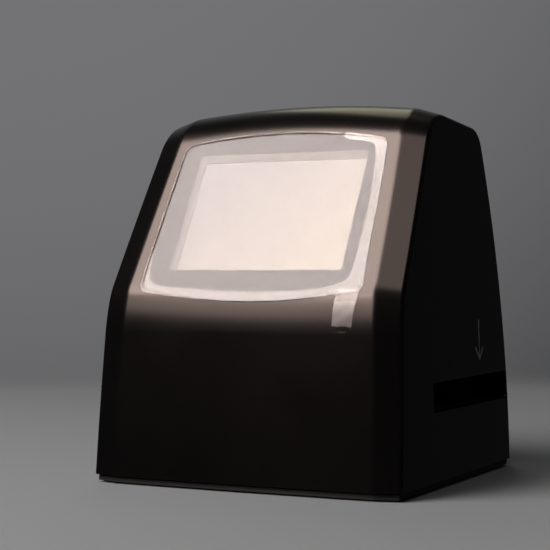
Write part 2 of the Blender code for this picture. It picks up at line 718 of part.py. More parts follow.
def side_frame(sign, y, z):
    """Axes on a side wall: X along the casing's Y, Y up the wall, Z straight out."""
    lean = math.tan(SIDE_DRAFT) + z / SIDE_BOW_RADIUS
    out = Vector((sign, 0, lean)).normalized()
    up = Vector((-sign * lean, 0, 1)).normalized()
    turn = Matrix(((0, up.x, out.x), (1, 0, 0), (0, up.z, out.z))).to_4x4()
    return Matrix.Translation((sign * half_width(z), y, z)) @ turn


def slot_outline(margin):
    return rounded_rectangle((SLOT_REAR - SLOT_FRONT) / 2 + margin,
                             SLOT_HEIGHT / 2 + margin, SLOT_CORNER + margin)


def slot_cutter():
    """The slot right across the casing, which opens out at each side wall."""
    across = Matrix(((0, 0, 1, 0), (1, 0, 0, AXIS_Y), (0, 1, 0, SLOT_MIDDLE), (0, 0, 0, 1)))
    shape = Shape().prism(slot_outline(0), -WIDTH, WIDTH, across)
    flares = Shape()
    for sign in SIGNS:
        place = side_frame(sign, AXIS_Y, SLOT_MIDDLE)
        rings = []
        for depth, margin in ((SLOT_CHAMFER, 0), (0, SLOT_CHAMFER), (-OVERRUN, SLOT_CHAMFER)):
            ring = slot_outline(margin)
            rings.append([place @ Vector((x, y, -depth)) for x, y in ring + ring[:1]])
        flares.loft(rings)
    bmesh.ops.remove_doubles(flares.bm, verts=flares.bm.verts, dist=GAP / 100)
    bmesh.ops.holes_fill(flares.bm, edges=flares.bm.edges)
    return shape.done("film_slot"), flares.done("slot_flares")


def socket_z():
    """Bottom of the sockets that stand on the main board."""
    return BOARD_TOP + GAP


def usb_box(margin, front, rear):
    low = socket_z() - margin
    return ((USB_X - USB_WIDTH / 2 - margin, front, low),
            (USB_X + USB_WIDTH / 2 + margin, rear, socket_z() + USB_HEIGHT + margin))


def jack_box(margin, front, rear):
    low = socket_z() - margin
    return ((JACK_X - JACK_WIDTH / 2 - margin, front, low),
            (JACK_X + JACK_WIDTH / 2 + margin, rear, socket_z() + JACK_WIDTH + margin))


def card_box(margin, outer, inner):
    low = socket_z() - margin
    return ((outer, CARD_FRONT - margin, low),
            (inner, CARD_REAR + margin, socket_z() + CARD_HEIGHT + margin))


def casing_openings():
    """Every hole through the casing wall, and the marks in it."""
    recess = WINDOW_THICKNESS + GAP
    seat = Shape().prism(window_outline(GAP), -recess, OVERRUN)
    opening = Shape().prism(rounded_rectangle(OPENING_HALF_WIDTH, OPENING_HALF_HEIGHT,
                                              GAP), -WALL - OVERRUN, OVERRUN)
    ports = Shape()
    inner = back_y(BOARD_TOP) - WALL - OVERRUN
    outer = DEPTH / 2 + OVERRUN
    ports.block(*usb_box(PORT_GAP, inner, outer))
    ports.block(*jack_box(PORT_GAP, inner, outer))
    ports.block(*card_box(PORT_GAP, -WIDTH / 2 - OVERRUN,
                          -half_width(BOARD_TOP) + WALL + OVERRUN))
    keys = Shape()
    for name, step in KEY_PLACES.items():
        high = top_height(0, KEY_ROW_Y) + OVERRUN
        keys.rod(key_radius(name) + GAP, (step * KEY_PITCH, KEY_ROW_Y, flange_top(name)),
                 high - flange_top(name))
    marks = Shape()
    for sign in SIGNS:
        marks.prism(arrow_outline(), -ARROW_DEPTH, OVERRUN,
                    side_frame(sign, SLOT_REAR - ARROW_SETBACK, ARROW_BOTTOM))
    return [seat.done("window_seat", parent=SCREEN_PLANE),
            opening.done("display_opening", parent=SCREEN_PLANE),
            *slot_cutter(), ports.done("socket_ports"), keys.done("button_holes"),
            marks.done("arrow_marks")]


def build_casing():
    casing = make_casing()
    bosses, bores = casing_bosses()
    add_boolean(casing, bosses, "UNION")
    for tool in [bores] + casing_openings():
        add_boolean(casing, tool)


# Base plate, feet and case screws

def foot_places():
    z = BASE_BOTTOM
    x = half_width(z) - FOOT_SETBACK
    y = (front_y(z) + FOOT_SETBACK, back_y(z) - FOOT_SETBACK)
    return {name: (sx * x, y[sy > 0]) for name, (sx, sy) in CORNERS.items()}


def guide_post_places():
    x = half_width(GUIDE_BOTTOM) - WALL - POST_SETBACK
    return [(sx * x, y) for sx in SIGNS
            for y in (SLOT_FRONT + POST_RADIUS, SLOT_REAR - POST_REAR_SETBACK)]


def build_base():
    z = CASE_BOTTOM
    plate = Shape().prism(level_outline(z, BASE_INSET), BASE_BOTTOM, BASE_TOP)
    base = plate.done("base_plate", INNER_BLACK)
    rim = Shape().prism(level_outline(z, WALL + GAP), BASE_TOP - GAP, RIM_TOP)
    well = Shape().prism(level_outline(z, WALL + GAP + RIM_WALL), BASE_TOP, RIM_TOP + OVERRUN)
    rim, well = rim.done("locating_rim"), well.done("rim_well")
    posts, pads, through, holes = Shape(), Shape(), Shape(), Shape()
    for x, y in guide_post_places():
        posts.rod(POST_RADIUS, (x, y, BASE_TOP - GAP), GUIDE_BOTTOM - BASE_TOP)
    for x, y in boss_places().values():
        pads.rod(BOSS_RADIUS + RIM_WALL / 2, (x, y, BASE_TOP - GAP), RIM_TOP - BASE_TOP + GAP)
        through.rod(CASE_SCREW_RADIUS + GAP, (x, y, BASE_BOTTOM - OVERRUN),
                    RIM_TOP - BASE_BOTTOM + OVERRUN + OVERRUN, sides=SMALL_SIDES)
        holes.rod(CASE_HEAD_RADIUS + GAP, (x, y, BASE_BOTTOM - OVERRUN),
                  CASE_HEAD_HEIGHT + GAP + GAP + OVERRUN)
    for x, y in foot_places().values():
        holes.rod(FOOT_RADIUS + GAP, (x, y, BASE_BOTTOM - OVERRUN),
                  OVERRUN + FOOT_HEIGHT + GAP - BASE_BOTTOM)
    room = Shape().prism(level_outline(z, WALL + GAP + RIM_WALL / 2), BASE_BOTTOM, GUIDE_BOTTOM)
    pads = pads.done("boss_pads")
    add_boolean(pads, room.done("room_inside_walls"), "INTERSECT")
    add_boolean(rim, well)
    for tool in (rim, pads, posts.done("guide_posts")):
        add_boolean(base, tool, "UNION")
    add_boolean(base, through.done("screw_holes"))
    add_boolean(base, holes.done("head_and_foot_recesses"))


def build_feet_and_case_screws():
    chamfer = FOOT_HEIGHT / 4
    outline = [(0, FOOT_HEIGHT), (FOOT_RADIUS, FOOT_HEIGHT), (FOOT_RADIUS, chamfer),
               (FOOT_RADIUS - chamfer, 0), (0, 0)]
    for name, (x, y) in foot_places().items():
        turned("foot_" + name, outline, RUBBER, (x, y, 0))
    outline = screw_outline(CASE_SCREW_RADIUS, CASE_SCREW_LENGTH, CASE_HEAD_RADIUS,
                            CASE_HEAD_HEIGHT)
    for name, (x, y) in boss_places().items():
        turned("case_screw_" + name, outline, STEEL,
               (x, y, BASE_BOTTOM + CASE_HEAD_HEIGHT + GAP), sides=SMALL_SIDES)


# Screen

def build_window_and_display():
    Shape().prism(window_outline(0), -WINDOW_THICKNESS, 0).done(
        "screen_window", WINDOW_GLOSS, SCREEN_PLANE)
    half_x, half_y = DISPLAY_WIDTH / 2, DISPLAY_HEIGHT / 2
    panel = Shape().block((-half_x, -half_y, -DISPLAY_DEPTH - DISPLAY_THICKNESS),
                          (half_x, half_y, -DISPLAY_DEPTH))
    panel.done("display_panel", DISPLAY_GLASS, SCREEN_PLANE)
    top = -DISPLAY_DEPTH + GAP + FRAME_LIP
    pocket_x, pocket_y = half_x + GAP, half_y + GAP
    frame = Shape().block((-pocket_x - FRAME_WALL, -pocket_y - FRAME_WALL, top - FRAME_DEPTH),
                          (pocket_x + FRAME_WALL, pocket_y + FRAME_WALL, top))
    frame = frame.done("display_frame", INNER_BLACK, SCREEN_PLANE)
    ears = Shape()
    screw_holes = Shape()
    for x, up in EAR_PLACES.values():
        inward = math.copysign(pocket_x + FRAME_WALL / 2, x)
        outward = math.copysign(EAR_X + EAR_REACH / 2, x)
        ears.block((min(inward, outward), up - EAR_WIDTH / 2, EAR_TOP - EAR_THICKNESS),
                   (max(inward, outward), up + EAR_WIDTH / 2, EAR_TOP))
        screw_holes.rod(SMALL_SCREW_RADIUS + GAP, (x, up, EAR_TOP - EAR_THICKNESS - OVERRUN),
                        EAR_THICKNESS + OVERRUN + OVERRUN, sides=SMALL_SIDES)
    pocket = Shape().block((-pocket_x, -pocket_y, top - FRAME_DEPTH - OVERRUN),
                           (pocket_x, pocket_y, top - FRAME_LIP))
    sight = Shape().block((-OPENING_HALF_WIDTH, -OPENING_HALF_HEIGHT, top - FRAME_DEPTH),
                          (OPENING_HALF_WIDTH, OPENING_HALF_HEIGHT, top + OVERRUN))
    add_boolean(frame, ears.done("frame_ears", parent=SCREEN_PLANE), "UNION")
    for name, tool in (("display_pocket", pocket), ("display_sight", sight),
                       ("frame_screw_holes", screw_holes)):
        add_boolean(frame, tool.done(name, parent=SCREEN_PLANE))
    outline = screw_outline(SMALL_SCREW_RADIUS, DISPLAY_SCREW_LENGTH, SMALL_HEAD_RADIUS,
                            SMALL_HEAD_HEIGHT)
    for name, (x, up) in EAR_PLACES.items():
        turned("display_screw_" + name, outline, STEEL,
               (x, up, EAR_TOP - EAR_THICKNESS - GAP), SCREEN_PLANE, SMALL_SIDES)


def film_outline():
    """The film laid flat: the window's outline with the pull tab at its lower right."""
    points = window_outline(FILM_MARGIN)
    near, far = TAB_NEAR, TAB_NEAR + TAB_WIDTH
    corner = WINDOW_BARREL - WINDOW_BOTTOM
    end = corner - TAB_LENGTH
    tab = [(near, end + TAB_CORNER), (near + TAB_CORNER, end),
           (far - TAB_TAPER - TAB_CORNER, end), (far - TAB_TAPER, end + TAB_CORNER)]
    before = [p for p in points if p[1] < 0 and p[0] < near]
    after = [p for p in points if p[1] > corner and p[0] > 0]
    rest = [p for p in points if p[1] >= 0 and p[0] <= 0]
    left = [p for p in before if p[0] < 0 and p[1] > corner]
    foot = [p for p in before if p not in left]
    shoulder = (far, corner)
    return foot + [(near, foot[-1][1])] + tab + [shoulder] + after + rest + left


def build_film():
    """A thin sheet cut flat, creased along lines and bent over the edge at its tab."""
    sheet = Shape()
    sheet.bm.faces.new([sheet.bm.verts.new((x, y, 0)) for x, y in film_outline()])
    turn = SCREEN_TILT - FRONT_LEAN
    arc = TAB_BEND_RADIUS * turn
    for i in range(TAB_BEND_STEPS + 1):
        everything = list(sheet.bm.verts) + list(sheet.bm.edges) + list(sheet.bm.faces)
        bmesh.ops.bisect_plane(sheet.bm, geom=everything, plane_no=(0, 1, 0),
                               plane_co=(0, -FILM_EDGE - arc * i / TAB_BEND_STEPS, 0))
    for vertex in sheet.bm.verts:
        past = -FILM_EDGE - vertex.co.y
        if past <= 0:
            continue
        angle = min(past, arc) / TAB_BEND_RADIUS
        run = max(0.0, past - arc)
        vertex.co.y = -FILM_EDGE - TAB_BEND_RADIUS * math.sin(angle) - run * math.cos(angle)
        vertex.co.z = -TAB_BEND_RADIUS * (1 - math.cos(angle)) - run * math.sin(angle)
    bmesh.ops.recalc_face_normals(sheet.bm, faces=sheet.bm.faces)
    film = sheet.done("protective_film", FILM_CLEAR, SCREEN_PLANE, (0, 0, FILM_LIFT))
    skin = film.modifiers.new("film_thickness", "SOLIDIFY")
    skin.thickness = FILM_THICKNESS
    skin.offset = 1


# Film channel

def build_guides():
    rail = RAIL_THICKNESS
    front = SLOT_FRONT - rail + GAP
    rear = SLOT_REAR - GAP - rail / 2
    gate = ((-FRAME_GATE_X / 2, AXIS_Y - FRAME_GATE_Y / 2, GUIDE_BOTTOM - OVERRUN),
            (FRAME_GATE_X / 2, AXIS_Y + FRAME_GATE_Y / 2, UPPER_GUIDE_TOP + OVERRUN))
    gate = Shape().block(*gate).done("film_gate")
    half, cut = GUIDE_HALF, GUIDE_CORNER_CUT
    rear_half = half - cut - REAR_RAIL_SETBACK
    outline = [(-half, front), (half, front), (half, rear - cut), (half - cut, rear),
               (cut - half, rear), (-half, rear - cut)]
    lower = Shape().prism(outline, GUIDE_BOTTOM, CHANNEL_BOTTOM)
    lower = lower.done("film_guide_lower", INNER_BLACK)
    rails = Shape().block((-half, front, CHANNEL_BOTTOM - GAP),
                          (half, front + rail, CHANNEL_TOP - GAP))
    rails.block((-rear_half, rear - rail / 2, CHANNEL_BOTTOM - GAP),
                (rear_half, rear + rail / 2, CHANNEL_TOP - GAP))
    add_boolean(lower, rails.done("guide_rails"), "UNION")
    add_boolean(lower, gate)
    upper = Shape().prism(outline, CHANNEL_TOP, UPPER_GUIDE_TOP)
    upper = upper.done("film_guide_upper", INNER_BLACK)
    posts, bores = Shape(), Shape()
    for x, y in main_post_places():
        posts.rod(SMALL_POST_RADIUS, (x, y, UPPER_GUIDE_TOP - GAP), BOARD_LIFT,
                  sides=SMALL_SIDES)
        bores.rod(SMALL_SCREW_RADIUS + GAP, (x, y, UPPER_GUIDE_TOP), BOARD_LIFT + OVERRUN,
                  sides=SMALL_SIDES)
    add_boolean(upper, posts.done("board_posts"), "UNION")
    add_boolean(upper, bores.done("board_post_bores"))
    add_boolean(upper, gate)


def build_film_springs():
    """Two bowed leaf springs under the upper guide that hold the film holder down."""
    for name, y in (("film_spring_front", SLOT_FRONT + SPRING_WIDTH),
                    ("film_spring_rear", SLOT_REAR - SPRING_WIDTH - SPRING_WIDTH)):
        rows = []
        for i in range(SPRING_STEPS + 1):
            share = 2 * i / SPRING_STEPS - 1
            height = CHANNEL_TOP - GAP - SPRING_SAG * (1 - share ** 2)
            x = share * SPRING_LENGTH / 2
            rows.append([(x, y, height), (x, y + SPRING_WIDTH, height)])
        spring = Shape().loft(rows).done(name, STEEL)
        skin = spring.modifiers.new("spring_thickness", "SOLIDIFY")
        skin.thickness = SPRING_THICKNESS
        skin.offset = 0


# Light box

def build_light_box():
    half_x, half_y = LIGHT_BOX_WIDTH / 2, LIGHT_BOX_DEPTH / 2
    low, high = BASE_TOP + GAP, GUIDE_BOTTOM - GAP
    wall = LIGHT_BOX_WALL
    box = Shape().block((-half_x, AXIS_Y - half_y, low), (half_x, AXIS_Y + half_y, high))
    box = box.done("light_box", WHITE_PLASTIC)
    well = Shape().block((wall - half_x, AXIS_Y + wall - half_y, low + wall),
                         (half_x - wall, AXIS_Y + half_y - wall, high + OVERRUN))
    seat = wall - DIFFUSER_SEAT
    step = high - DIFFUSER_THICKNESS - GAP
    ledge = Shape().block((seat - half_x, AXIS_Y + seat - half_y, step),
                          (half_x - seat, AXIS_Y + half_y - seat, high + OVERRUN))
    add_boolean(box, well.done("light_well"))
    add_boolean(box, ledge.done("diffuser_ledge"))
    edge = seat + GAP
    Shape().block((edge - half_x, AXIS_Y + edge - half_y, step + GAP),
                  (half_x - edge, AXIS_Y + half_y - edge, high)).done(
        "light_diffuser", WHITE_PLASTIC)
    edge = wall + GAP
    floor = low + wall + GAP
    Shape().block((edge - half_x, AXIS_Y + edge - half_y, floor),
                  (half_x - edge, AXIS_Y + half_y - edge, floor + BOARD_THICKNESS)).done(
        "light_board", BOARD_GREEN)
    lamp_z = floor + BOARD_THICKNESS + GAP
    for name, (sx, sy) in CORNERS.items():
        x, y = sx * LED_PITCH_X / 2, AXIS_Y + sy * LED_PITCH_Y / 2
        lamp = Shape().block((x - LED_SIZE / 2, y - LED_SIZE / 2, lamp_z),
                             (x + LED_SIZE / 2, y + LED_SIZE / 2, lamp_z + LED_HEIGHT))
        lamp = lamp.done("led_" + name, WHITE_PLASTIC)
        add_bevel(lamp, LED_HEIGHT / 4, segments=1)


# Main board and sockets

def main_post_places():
    """Posts on the upper guide that carry the main board."""
    near = CARD_REAR + MAIN_POST_MARGIN
    far = SLOT_REAR - MAIN_POST_MARGIN
    x = MAIN_BOARD_HALF - MAIN_POST_SETBACK
    return [(sx * x, y) for sx in SIGNS for y in (near, far)]


def build_main_board():
    board = Shape().block((-MAIN_BOARD_HALF, MAIN_BOARD_FRONT, BOARD_BOTTOM),
                          (MAIN_BOARD_HALF, MAIN_BOARD_REAR, BOARD_TOP))
    board = board.done("main_board", BOARD_GREEN)
    holes = Shape()
    half_x, half_y = TUNNEL_WIDTH / 2 + GAP, TUNNEL_DEPTH / 2 + GAP
    holes.block((-half_x, AXIS_Y - half_y, BOARD_BOTTOM - OVERRUN),
                (half_x, AXIS_Y + half_y, BOARD_TOP + OVERRUN))
    for x, y in main_post_places():
        holes.rod(SMALL_SCREW_RADIUS + GAP, (x, y, BOARD_BOTTOM - OVERRUN),
                  BOARD_THICKNESS + OVERRUN + OVERRUN, sides=SMALL_SIDES)
    add_boolean(board, holes.done("board_holes"))
    outline = screw_outline(SMALL_SCREW_RADIUS, MAIN_SCREW_LENGTH, SMALL_HEAD_RADIUS,
                            SMALL_HEAD_HEIGHT)
    for i, (x, y) in enumerate(main_post_places()):
        screw = turned("board_screw_" + str(i + 1), outline, STEEL,
                       (x, y, BOARD_TOP + GAP), sides=SMALL_SIDES)
        screw.rotation_euler = (math.radians(180), 0, 0)


def build_sockets():
    wall = SOCKET_WALL
    rear = back_y(BOARD_TOP) - SOCKET_RECESS
    low, high = usb_box(0, rear - SOCKET_DEPTH, rear)
    usb = Shape().block(low, high).done("usb_socket", STEEL)
    low, high = usb_box(-wall, rear - SOCKET_DEPTH + wall, rear + OVERRUN)
    mouth = Shape().block(low, high).done("usb_mouth")
    middle = socket_z() + USB_HEIGHT / 2
    tongue = Shape().block((USB_X - TONGUE_WIDTH / 2, rear - SOCKET_DEPTH + wall / 2,
                            middle - TONGUE_HEIGHT / 2),
                           (USB_X + TONGUE_WIDTH / 2, rear - wall, middle + TONGUE_HEIGHT / 2))
    add_boolean(usb, mouth)
    add_boolean(usb, tongue.done("usb_tongue"), "UNION")
    low, high = jack_box(0, rear - SOCKET_DEPTH, rear)
    jack = Shape().block(low, high).done("video_jack", CHIP_BLACK)
    back = Matrix.Rotation(math.radians(-90), 4, "X")
    bore = Shape().rod(JACK_BORE, (JACK_X, rear - SOCKET_DEPTH + wall,
                                   socket_z() + JACK_WIDTH / 2),
                       SOCKET_DEPTH + OVERRUN, sides=SMALL_SIDES, turn=back)
    add_boolean(jack, bore.done("jack_bore"))
    outer = CARD_RECESS - half_width(BOARD_TOP + CARD_HEIGHT)
    low, high = card_box(0, outer, outer + CARD_LENGTH)
    card = Shape().block(low, high).done("card_socket", STEEL)
    low, high = card_box(-wall, outer - OVERRUN, outer + CARD_LENGTH - wall)
    add_boolean(card, Shape().block(low, high).done("card_mouth"))


# Lens and sensor

def rectangle_ring(half_x, half_y, z):
    corners = ((-half_x, -half_y), (half_x, -half_y), (half_x, half_y), (-half_x, half_y),
               (-half_x, -half_y))
    return [(x, AXIS_Y + y, z) for x, y in corners]


def build_lens_tunnel():
    """A hood that narrows from the film gate to the lens, open at both ends."""
    foot = HOLDER_FLANGE
    wide = (TUNNEL_WIDTH / 2, TUNNEL_DEPTH / 2)
    narrow = (TUNNEL_TOP_SIZE / 2, TUNNEL_TOP_SIZE / 2)
    shape = Shape().loft([rectangle_ring(*wide, TUNNEL_BOTTOM),
                          rectangle_ring(*wide, BOARD_TOP + foot),
                          rectangle_ring(*narrow, TUNNEL_TOP - foot),
                          rectangle_ring(*narrow, TUNNEL_TOP)])
    bmesh.ops.remove_doubles(shape.bm, verts=shape.bm.verts, dist=GAP / 100)
    tunnel = shape.done("lens_tunnel", INNER_BLACK)
    skin = tunnel.modifiers.new("tunnel_wall", "SOLIDIFY")
    skin.thickness = TUNNEL_WALL
    skin.offset = -1
    skin.use_even_offset = True


def lens_outline(radius):
    """A biconvex element: round faces, a flat edge."""
    top, bottom = [], []
    for i in range(LENS_RINGS + 1):
        share = i / LENS_RINGS
        height = LENS_EDGE / 2 + LENS_BULGE * (1 - share ** 2)
        top.append((radius * share, height))
        bottom.append((radius * share, -height))
    return top + bottom[::-1]


def build_lens_and_sensor():
    half = HOLDER_SIZE / 2
    axis = (0, AXIS_Y)
    holder = Shape().block((-half, AXIS_Y - half, HOLDER_BOTTOM),
                           (half, AXIS_Y + half, HOLDER_BOTTOM + HOLDER_FLANGE))
    holder = holder.done("lens_holder", INNER_BLACK)
    sleeve = Shape().rod(HOLDER_RADIUS, (*axis, HOLDER_BOTTOM + HOLDER_FLANGE / 2),
                         HOLDER_HEIGHT - HOLDER_FLANGE / 2)
    posts, bores = Shape(), Shape()
    for sign in SIGNS:
        x, y = sign * SENSOR_SCREW_OFFSET, AXIS_Y
        posts.rod(SMALL_POST_RADIUS, (x, y, HOLDER_BOTTOM + HOLDER_FLANGE / 2),
                  HOLDER_HEIGHT - HOLDER_FLANGE / 2, sides=SMALL_SIDES)
        bores.rod(SMALL_SCREW_RADIUS + GAP, (x, y, HOLDER_TOP - SENSOR_SCREW_LENGTH),
                  SENSOR_SCREW_LENGTH + OVERRUN, sides=SMALL_SIDES)
    hollow = Shape().rod(BARREL_RADIUS + GAP, (*axis, HOLDER_BOTTOM - OVERRUN),
                         HOLDER_HEIGHT + OVERRUN + OVERRUN)
    add_boolean(holder, sleeve.done("holder_sleeve"), "UNION")
    add_boolean(holder, posts.done("holder_posts"), "UNION")
    add_boolean(holder, bores.done("holder_bores"))
    add_boolean(holder, hollow.done("holder_hollow"))
    # Barrel: an outer wall with an inward stop between its two elements.
    inner = BARREL_RADIUS - BARREL_WALL
    base = BARREL_LENGTH / 2
    stop = BARREL_STOP / 2
    outline = [(inner, base), (BARREL_RADIUS, base), (BARREL_RADIUS, -base), (inner, -base),
               (inner, -stop), (inner - BARREL_WALL, -stop), (inner - BARREL_WALL, stop),
               (inner, stop), (inner, base)]
    middle = HOLDER_BOTTOM + base
    turned("lens_barrel", outline, INNER_BLACK, (*axis, middle))
    element = lens_outline(inner - GAP)
    seat = stop + GAP + LENS_EDGE / 2
    turned("lens_front", element, LENS_GLASS, (*axis, middle - seat - LENS_BULGE / 2))
    turned("lens_rear", element, LENS_GLASS, (*axis, middle + seat + LENS_BULGE / 2))
    half = SENSOR_BOARD_SIZE / 2
    top = SENSOR_BOARD_BOTTOM + SENSOR_BOARD_THICKNESS
    board = Shape().block((-half, AXIS_Y - half, SENSOR_BOARD_BOTTOM),
                          (half, AXIS_Y + half, top)).done("sensor_board", BOARD_GREEN)
    holes = Shape()
    outline = screw_outline(SMALL_SCREW_RADIUS, SENSOR_SCREW_LENGTH, SMALL_HEAD_RADIUS,
                            SMALL_HEAD_HEIGHT)
    for side, sign in (("left", -1), ("right", 1)):
        x, y = sign * SENSOR_SCREW_OFFSET, AXIS_Y
        holes.rod(SMALL_SCREW_RADIUS + GAP, (x, y, SENSOR_BOARD_BOTTOM - OVERRUN),
                  SENSOR_BOARD_THICKNESS + OVERRUN + OVERRUN, sides=SMALL_SIDES)
        screw = turned("sensor_screw_" + side, outline, STEEL, (x, y, top + GAP),
                       sides=SMALL_SIDES)
        screw.rotation_euler = (math.radians(180), 0, 0)
    add_boolean(board, holes.done("sensor_board_holes"))
    half = SENSOR_SIZE / 2 / math.sqrt(2)
    chip_top = SENSOR_BOARD_BOTTOM - GAP
    Shape().block((-half, AXIS_Y - half, chip_top - SENSOR_HEIGHT),
                  (half, AXIS_Y + half, chip_top)).done("image_sensor", CHIP_BLACK)


# Buttons, switches and their board

def build_buttons():
    for name, step in KEY_PLACES.items():
        x, radius = step * KEY_PITCH, key_radius(name)
        rim = radius + KEY_FLANGE
        crest = top_height(x, KEY_ROW_Y) + KEY_PROUD
        seat = flange_top(name)
        flange_low = seat - KEY_FLANGE_THICKNESS
        stem_end = SWITCH_TOP + KEY_TRAVEL_GAP
        outline = [(0, crest), (radius * 0.5, crest - KEY_DOME * 0.2),
                   (radius * 0.85, crest - KEY_DOME * 0.6), (radius, crest - KEY_DOME),
                   (radius, seat), (rim, seat), (rim, flange_low),
                   (KEY_STEM_RADIUS, flange_low), (KEY_STEM_RADIUS, stem_end), (0, stem_end)]
        outline = [(r, z - crest) for r, z in outline]
        turned(name, outline, KEY_BLACK, (x, KEY_ROW_Y, crest))


def build_key_board():
    low = KEY_BOARD_TOP - KEY_BOARD_THICKNESS
    half_y = KEY_BOARD_DEPTH / 2
    board = Shape().block((-KEY_BOARD_HALF, KEY_ROW_Y - half_y, low),
                          (KEY_BOARD_HALF, KEY_ROW_Y + half_y, KEY_BOARD_TOP))
    board = board.done("key_board", BOARD_GREEN)
    holes = Shape()
    outline = screw_outline(SMALL_SCREW_RADIUS, KEY_SCREW_LENGTH, SMALL_HEAD_RADIUS,
                            SMALL_HEAD_HEIGHT)
    for side, sign in (("left", -1), ("right", 1)):
        x = sign * KEY_POST_X
        holes.rod(SMALL_SCREW_RADIUS + GAP, (x, KEY_ROW_Y, low - OVERRUN),
                  KEY_BOARD_THICKNESS + OVERRUN + OVERRUN, sides=SMALL_SIDES)
        turned("key_board_screw_" + side, outline, STEEL, (x, KEY_ROW_Y, low - GAP),
               sides=SMALL_SIDES)
    add_boolean(board, holes.done("key_board_holes"))
    for name, step in KEY_PLACES.items():
        x, half = step * KEY_PITCH, SWITCH_SIZE / 2
        foot = KEY_BOARD_TOP + GAP
        switch = Shape().block((x - half, KEY_ROW_Y - half, foot),
                               (x + half, KEY_ROW_Y + half, foot + SWITCH_HEIGHT))
        switch = switch.done(name.replace("button", "switch"), CHIP_BLACK)
        plunger = Shape().rod(PLUNGER_RADIUS, (x, KEY_ROW_Y, foot + SWITCH_HEIGHT / 2),
                              SWITCH_HEIGHT / 2 + PLUNGER_HEIGHT, sides=SMALL_SIDES)
        add_boolean(switch, plunger.done(switch.name + "_plunger"), "UNION")


# Ribbon cables

def ribbon(name, x, width, ends):
    """A flat cable along a smooth curve: each end is a point and the way it leaves."""
    (start, leave), (end, arrive) = ends
    start, end = Vector((0, *start)), Vector((0, *end))
    first = start + Vector((0, *leave))
    second = end + Vector((0, *arrive))
    rows = []
    for i in range(RIBBON_STEPS + 1):
        t = i / RIBBON_STEPS
        a, b, c = start.lerp(first, t), first.lerp(second, t), second.lerp(end, t)
        point = a.lerp(b, t).lerp(b.lerp(c, t), t)
        rows.append([(x - width / 2, point.y, point.z), (x + width / 2, point.y, point.z)])
    cable = Shape().loft(rows).done(name, RIBBON_WHITE)
    skin = cable.modifiers.new("cable_thickness", "SOLIDIFY")
    skin.thickness = RIBBON_THICKNESS
    skin.offset = 0


def build_ribbons():
    lift = GAP + RIBBON_THICKNESS / 2
    landing = BOARD_TOP + lift
    back = on_screen(0, -DISPLAY_HEIGHT / 2 + RIBBON_LANDING,
                     -DISPLAY_DEPTH - DISPLAY_THICKNESS - lift)
    down = -travel(SCREEN_TILT) * RIBBON_SLACK
    end = (MAIN_BOARD_FRONT + RIBBON_LANDING, landing)
    ribbon("display_ribbon", DISPLAY_WIDTH * DISPLAY_RIBBON_SHARE, DISPLAY_RIBBON_WIDTH,
           (((back.y, back.z), (down.y, down.z)), (end, (RIBBON_SLACK * 2, 0))))
    rear = MAIN_BOARD_REAR - RIBBON_LANDING
    sensor_edge = AXIS_Y + SENSOR_BOARD_SIZE / 2 - RIBBON_LANDING
    ribbon("sensor_ribbon", 0, SENSOR_RIBBON_WIDTH,
           (((sensor_edge, SENSOR_BOARD_BOTTOM - lift), (RIBBON_SLACK * 2, 0)),
            ((rear - RIBBON_LANDING, landing), (0, RIBBON_SLACK * 2))))
    key_edge = KEY_ROW_Y + KEY_BOARD_DEPTH / 2 - RIBBON_LANDING
    reach = (rear - RIBBON_LANDING - key_edge) * KEY_RIBBON_REACH_SHARE
    ribbon("key_ribbon", KEY_PLACES["menu_button"] * KEY_PITCH, KEY_RIBBON_WIDTH,
           (((key_edge, KEY_BOARD_TOP - KEY_BOARD_THICKNESS - lift), (reach, 0)),
            ((rear - RIBBON_LANDING, landing), (0, reach))))


build_casing()
build_base()
build_feet_and_case_screws()
build_window_and_display()
build_film()
build_guides()
build_film_springs()
build_light_box()
build_main_board()
build_sockets()
build_lens_tunnel()
build_lens_and_sensor()
build_buttons()
build_key_board()
build_ribbons()
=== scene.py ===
# %% [markdown]
# # Dressing a desktop film negative scanner
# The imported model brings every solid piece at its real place.  This notebook gives the
# pieces their looks: a soft-edged satin housing, a printed window under a protective film
# with a wavy edge, moulded buttons, and a finish for every inner part.

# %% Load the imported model
import math

import bmesh
import bpy
from mathutils import Matrix, Vector


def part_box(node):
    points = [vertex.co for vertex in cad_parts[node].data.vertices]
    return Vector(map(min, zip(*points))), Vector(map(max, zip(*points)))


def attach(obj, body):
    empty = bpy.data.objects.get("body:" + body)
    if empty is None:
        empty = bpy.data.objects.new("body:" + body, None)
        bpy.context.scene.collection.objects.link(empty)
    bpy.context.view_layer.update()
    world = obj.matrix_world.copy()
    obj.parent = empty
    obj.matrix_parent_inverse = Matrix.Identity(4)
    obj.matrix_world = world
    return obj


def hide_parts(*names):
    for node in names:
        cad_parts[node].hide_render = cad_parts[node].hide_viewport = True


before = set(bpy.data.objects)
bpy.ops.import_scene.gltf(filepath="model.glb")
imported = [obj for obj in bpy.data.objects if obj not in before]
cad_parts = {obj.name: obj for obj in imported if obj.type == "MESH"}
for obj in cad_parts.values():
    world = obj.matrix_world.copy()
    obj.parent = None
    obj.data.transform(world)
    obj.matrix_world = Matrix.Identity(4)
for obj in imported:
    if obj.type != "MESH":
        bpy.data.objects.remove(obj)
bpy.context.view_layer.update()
scene = bpy.context.scene

# %% [markdown]
# ## Units and the shapes of meshes
# A housing is drawn in millimetres, so all the lengths below are millimetres.  They become
# metres at the moment a mesh is made.  Each finished piece keeps its object at the origin
# and its place in its mesh, so a pattern on object coordinates never slides.

# %% Mesh helpers
MM = 0.001
# points closer than this many millimetres are merged
FINE = 0.001


def smooth(mesh, sharp):
    mesh.shade_smooth()
    mesh.set_sharp_from_angle(angle=math.radians(sharp))


